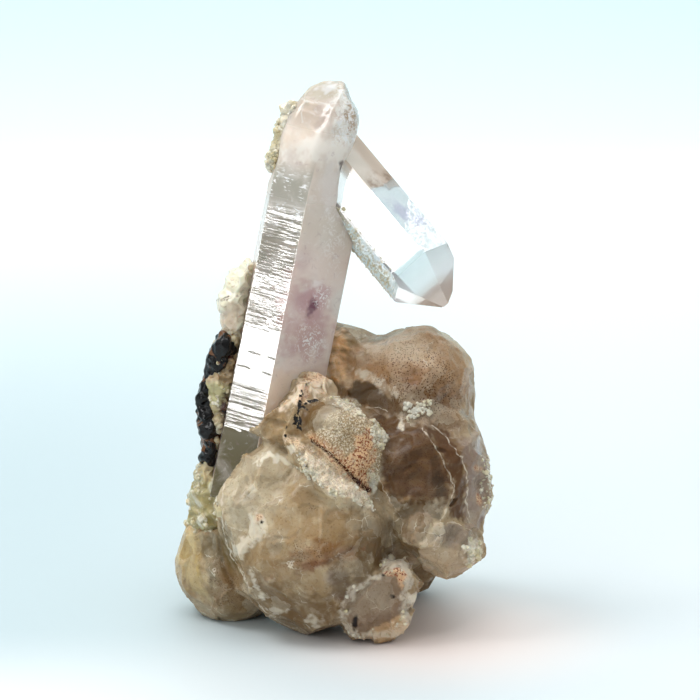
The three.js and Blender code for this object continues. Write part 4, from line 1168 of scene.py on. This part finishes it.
head_mesh = fused("head_druse", lumps(HEAD_DRUSE, 1.6), 0.18)
p, n = points_of(head_mesh)
rise = 0.2 * (np.abs(waves(p, 2.4, 91, 20)) - 0.4) + 0.10 * waves(p, 0.8, 92, 20)
p, n = moved(head_mesh, p + n * rise[:, None])
head_points = new_mesh("head_points", *scatter(p, n, np.ones(len(p)), 260, 0.7, 92, 0.6))
piece("head_druse", head_mesh, druse, "drusy_quartz")
piece("head_points", head_points, druse, "drusy_quartz")

crust_mesh = fused("drusy_crust", lumps(CRUST, 1.9) + lumps(CRUST_FOOT, 1.0, 30), 0.2)
p, n = points_of(crust_mesh)
p = chipped(p, n, np.ones(len(p)), 150, 2.6, 0.30, 93)
p = chipped(p, n, np.ones(len(p)), 420, 1.1, 0.14, 94)
p, n = moved(crust_mesh, p)
plate = smoothstep(42.0, 44.0, p[:, 2])
yellow = smoothstep(24.0, 20.0, p[:, 2])
porous = oval(p, -16.0, 36.6, 2.6, 2.6, 0, 0.5, 0.3, 101, 30.0)
sugar = 0.16 * (np.abs(waves(p, 1.7, 95, 20)) - 0.4) + 0.07 * waves(p, 0.8, 96, 20)
rise = (1 - 0.85 * plate) * (1 - 0.6 * yellow) * sugar + 0.15 * porous * waves(p, 1.0, 97, 20)
p, n = moved(crust_mesh, p + n * rise[:, None])
tint(crust_mesh, [
    ("#CCBA94", 1),
    ("#DDCFB0", smoothstep(0.0, 1.0, waves(p, 4.0, 98))),
    ("#FBF2DA", plate),
    ("#DCC9B2", oval(p, -15.2, 44.0, 1.6, 1.8, 0, 0.4, 0.3, 102, 30.0)),
    ("#A98C64", 0.9 * porous),
    ("#C6BE8E", 0.8 * oval(p, -17.2, 32.6, 2.2, 2.0, 0, 0.4, 0.3, 103, 30.0)),
    ("#B4A878", 0.9 * yellow),
    ("#A99A62", 0.7 * yellow * smoothstep(0.1, 0.9, waves(p, 2.2, 109))),
    ("#DEDAC6", 0.8 * yellow * smoothstep(0.3, 0.9, waves(p, 2.6, 110))),
])
brown = np.maximum.reduce([
    oval(p, -16.0, 37.8, 1.8, 1.0, 30, 0.5, 0.5, 104, 30.0),
    oval(p, -15.7, 31.0, 0.7, 1.6, -10, 0.4, 0.4, 105, 30.0),
    0.8 * oval(p, -15.4, 46.6, 1.6, 0.3, 15, 0.4, 0.5, 106, 30.0),
    0.7 * oval(p, -18.4, 50.6, 0.5, 1.6, -15, 0.4, 0.4, 107, 30.0),
    0.6 * oval(p, -15.9, 27.6, 0.5, 1.8, -8, 0.4, 0.4, 108, 30.0)])
paint(crust_mesh, "stains", brown, 0.0, 0.0)
thick = (1 - plate) * (0.1 + smoothstep(0.2, 1.0, waves(p, 3.0, 99))) + 1e-6
crust_points = new_mesh("crust_points", *scatter(p, n, thick, 420, 0.5, 100, 0.6))

# The crust is the same drusy quartz, greenish where it is thick and stained brown in its pores.
stained, mm = new_material("drusy quartz, iron stained")
stains = add(stained, "Attribute", {}, attribute_name="stains")["Vector"]
brown_at = add(stained, "SeparateXYZ", {0: stains})[0]
pores, sparkle = [
    add(stained, "TexNoise", {
        "Vector": mm, "Scale": 1 / size, "Detail": detail, "Roughness": rough, "Distortion": bend})["Fac"]
    for size, detail, rough, bend in ((1.0, 4.0, 0.65, 0.8), (0.5, 3.0, 0.6, 0.0))]
colour = layered(stained, add(stained, "Attribute", {}, attribute_name="body")["Color"], [
    ("#8E6A42", (pores, 0.55, 0.68, 0.0, 0.45)),
    ("#F1EBDA", (sparkle, 0.6, 0.72, 0.0, 0.5)),
    ("#4A2413", brown_at, (pores, 0.38, 0.52, 0.2, 1.0)),
    ("#1A0E0A", brown_at, (pores, 0.55, 0.62)),
])
shader = add(stained, "BsdfPrincipled", {
    "Base Color": colour, "IOR": 1.544, "Roughness": 0.22, "Specular IOR Level": 0.35,
    "Subsurface Weight": 0.65, "Subsurface Radius": (1.0, 0.8, 0.6), "Subsurface Scale": 0.0010,
    "Transmission Weight": 0.2})[0]
add(stained, "OutputMaterial", {"Surface": shader})
piece("drusy_crust_skin", crust_mesh, stained, "drusy_quartz", "drusy_crust")
piece("crust_points", crust_points, druse, "drusy_quartz")

# The iron oxide: a black, lumpy, half-glossy skin that covered the crust's outer side last.
OXIDE = [
    (-16.2, -1.6, 41.1, 1.6), (-17.2, -1.3, 39.3, 1.5), (-18.0, -1.0, 37.3, 1.1), (-18.6, -0.9, 35.3, 1.0),
    (-18.9, -0.8, 33.2, 1.2), (-18.8, -0.9, 31.1, 1.4), (-18.5, -1.1, 28.9, 1.6), (-18.3, -1.1, 26.7, 1.4),
    (-18.5, -1.1, 24.6, 1.2)]
oxide_mesh = fused("iron_oxide", lumps(OXIDE, 1.6), 0.2)

# The lumps are rounded off, which shrinks them, then swollen again with knobs of their own.
p, n = points_of(oxide_mesh)
p, n = moved(oxide_mesh, settled(oxide_mesh, p, np.full(len(p), 0.8), 14))
p = p + 0.25 * n
moved(oxide_mesh, p + n * (0.24 * waves(p, 2.6, 96) + 0.10 * waves(p, 1.1, 97))[:, None])

# Haematite and goethite: nearly black, with a metallic gloss on the smooth knobs and brown between.
oxide, mm = new_material("haematite, botryoidal")
knobs, patches = [
    add(oxide, "TexNoise", {
        "Vector": mm, "Scale": 1 / size, "Detail": detail, "Roughness": 0.6})["Fac"]
    for size, detail in ((0.8, 4.0), (2.2, 3.0))]
colour = layered(oxide, "#040303", [
    ("#0C0908", (knobs, 0.4, 0.7)),
    ("#6A452A", (patches, 0.56, 0.62, 0.0, 0.9)),
])
shader = add(oxide, "BsdfPrincipled", {
    "Base Color": colour, "IOR": 1.8, "Specular IOR Level": 0.14,
    "Roughness": amount(oxide, (knobs, 0.3, 0.7, 0.10, 0.3)),
    "Normal": add(oxide, "Bump", {"Strength": 0.4, "Distance": 0.0002, "Height": knobs})[0]})[0]
add(oxide, "OutputMaterial", {"Surface": shader})
piece("iron_oxide_lumps", oxide_mesh, oxide, "iron_oxide", "iron_oxide_skin")

# The stage: a pale sweep of card, a camera a little above the specimen, and soft boxes.
def sweep(width, ahead, behind, rise, bend):
    """A floor, its bend and its wall as a profile carried across the width, all in mm."""
    t = np.linspace(0, np.pi / 2, 24)
    curve = np.stack([behind + bend * np.sin(t), bend - bend * np.cos(t)], -1)
    profile = np.concatenate([[[-ahead, 0]], curve, [[behind + bend, rise]]])
    x = np.linspace(-width / 2, width / 2, 9)
    grid = np.stack(np.broadcast_arrays(x, profile[:, :1], profile[:, 1:]), -1)
    r, c = np.meshgrid(np.arange(len(profile) - 1), np.arange(8), indexing="ij")
    k = r * 9 + c
    return grid.reshape(-1, 3), [np.stack([k, k + 1, k + 10, k + 9], -1).reshape(-1, 4)]


floor = bpy.data.objects.new("floor", new_mesh("floor", *sweep(3000, 900, 500, 1500, 300), smooth=180))
bpy.context.scene.collection.objects.link(floor)
card, mm = new_material("white card")
east, north, _ = add(card, "SeparateXYZ", {0: mm})
painted_warm_glow = add(card, "VectorMath", {0: mm, 1: (16.0, -10.0, 0.0)}, operation="DISTANCE")["Value"]
# The card is darker and bluer on the left and lighter again at the front left: painted shade.
colour = layered(card, "#B8C6CA", [
    ("#D4D9DB", (east, -60.0, 60.0)),
    ("#F4FAFB", (north, 60.0, 450.0)),
    ("#CFEBEE", (north, 420.0, 760.0)),
    ("#DCE0E1", (north, -6.0, -44.0), (east, 20.0, -40.0)),
    # Painted light: a warm glow on the card in the specimen's shadow, to its right.
    ("#EED6CC", (painted_warm_glow, 32.0, 2.0, 0.0, 0.7)),
])
shader = add(card, "BsdfPrincipled", {"Base Color": colour, "Roughness": 0.5, "Specular IOR Level": 0.3})[0]
add(card, "OutputMaterial", {"Surface": shader})
floor.data.materials.append(card)

PIXEL = 0.145 * MM  # what a pixel of the photograph spans at the specimen's middle
IMAGE, SENSOR = 700, 36.0  # pixels across the picture, and mm across the sensor
camera = bpy.data.objects.new("camera", bpy.data.cameras.new("camera"))
camera.location = MIDDLE * MM + np.array([0, -math.cos(VIEW), math.sin(VIEW)]) * EYE * MM
camera.rotation_euler = (math.pi / 2 - VIEW, 0, 0)
camera.data.sensor_width = SENSOR
camera.data.lens = EYE * MM / PIXEL / IMAGE * SENSOR
camera.data.clip_start = 0.01
bpy.context.scene.collection.objects.link(camera)
bpy.context.scene.camera = camera


def soft_box(name, place, aim, width, tall, watts):
    """An area light of the given size in metres that faces a point."""
    light = bpy.data.lights.new(name, "AREA")
    light.shape = "RECTANGLE"
    light.size, light.size_y = width, tall
    light.energy = watts
    obj = bpy.data.objects.new(name, light)
    bpy.context.scene.collection.objects.link(obj)
    obj.location = place
    obj.rotation_euler = (Vector(aim) - Vector(place)).to_track_quat("-Z", "Y").to_euler()


def mirrored(spec, side, h, distance):
    """The place that the camera sees mirrored in a crystal's face, `distance` metres from the face:
    the view is turned back by twice its part along the face's normal."""
    foot, axes = crystal_axes(spec["foot"], spec["axis"])
    azimuth, reach_out, _ = spec["bodies"][0][1][side]
    out = np.array([math.sin(math.radians(azimuth)), -math.cos(math.radians(azimuth)), 0]) @ axes
    at = (foot + out * reach_out + axes[2] * h) * MM
    view = at - np.array(camera.location)
    view /= np.linalg.norm(view)
    return at + (view - 2 * (view @ out) * out) * distance, at


soft_box("strip", *mirrored(MAIN, 1, 26.5, 0.7), 0.050, 0.070, 0.30)
soft_box("window", *mirrored(SIDE, 1, 18.0, 0.7), 0.10, 0.10, 0.45)
soft_box("key", (-0.34, 0.0, 0.56), (-0.005, 0, 0.03), 0.25, 0.25, 1.6)
soft_box("top", (0.08, -0.04, 0.75), (0, 0, 0.03), 0.5, 0.5, 1.6)
soft_box("back", (0.0, 0.45, 0.55), (0, 0.05, 0.03), 0.7, 0.4, 1.2)

world = bpy.data.worlds.new("studio")
bpy.context.scene.world = world
world.use_nodes = True
world.node_tree.nodes.clear()
upward = add(world, "SeparateXYZ", {0: add(world, "TexCoord", {})["Generated"]})["Z"]
glow = amount(world, (upward, -0.1, 0.7, 0.16, 1.0))
sky = add(world, "Background", {"Color": "#F4F9FB", "Strength": glow})[0]
add(world, "OutputWorld", {"Surface": sky})
bpy.context.scene.view_settings.view_transform = "Standard"
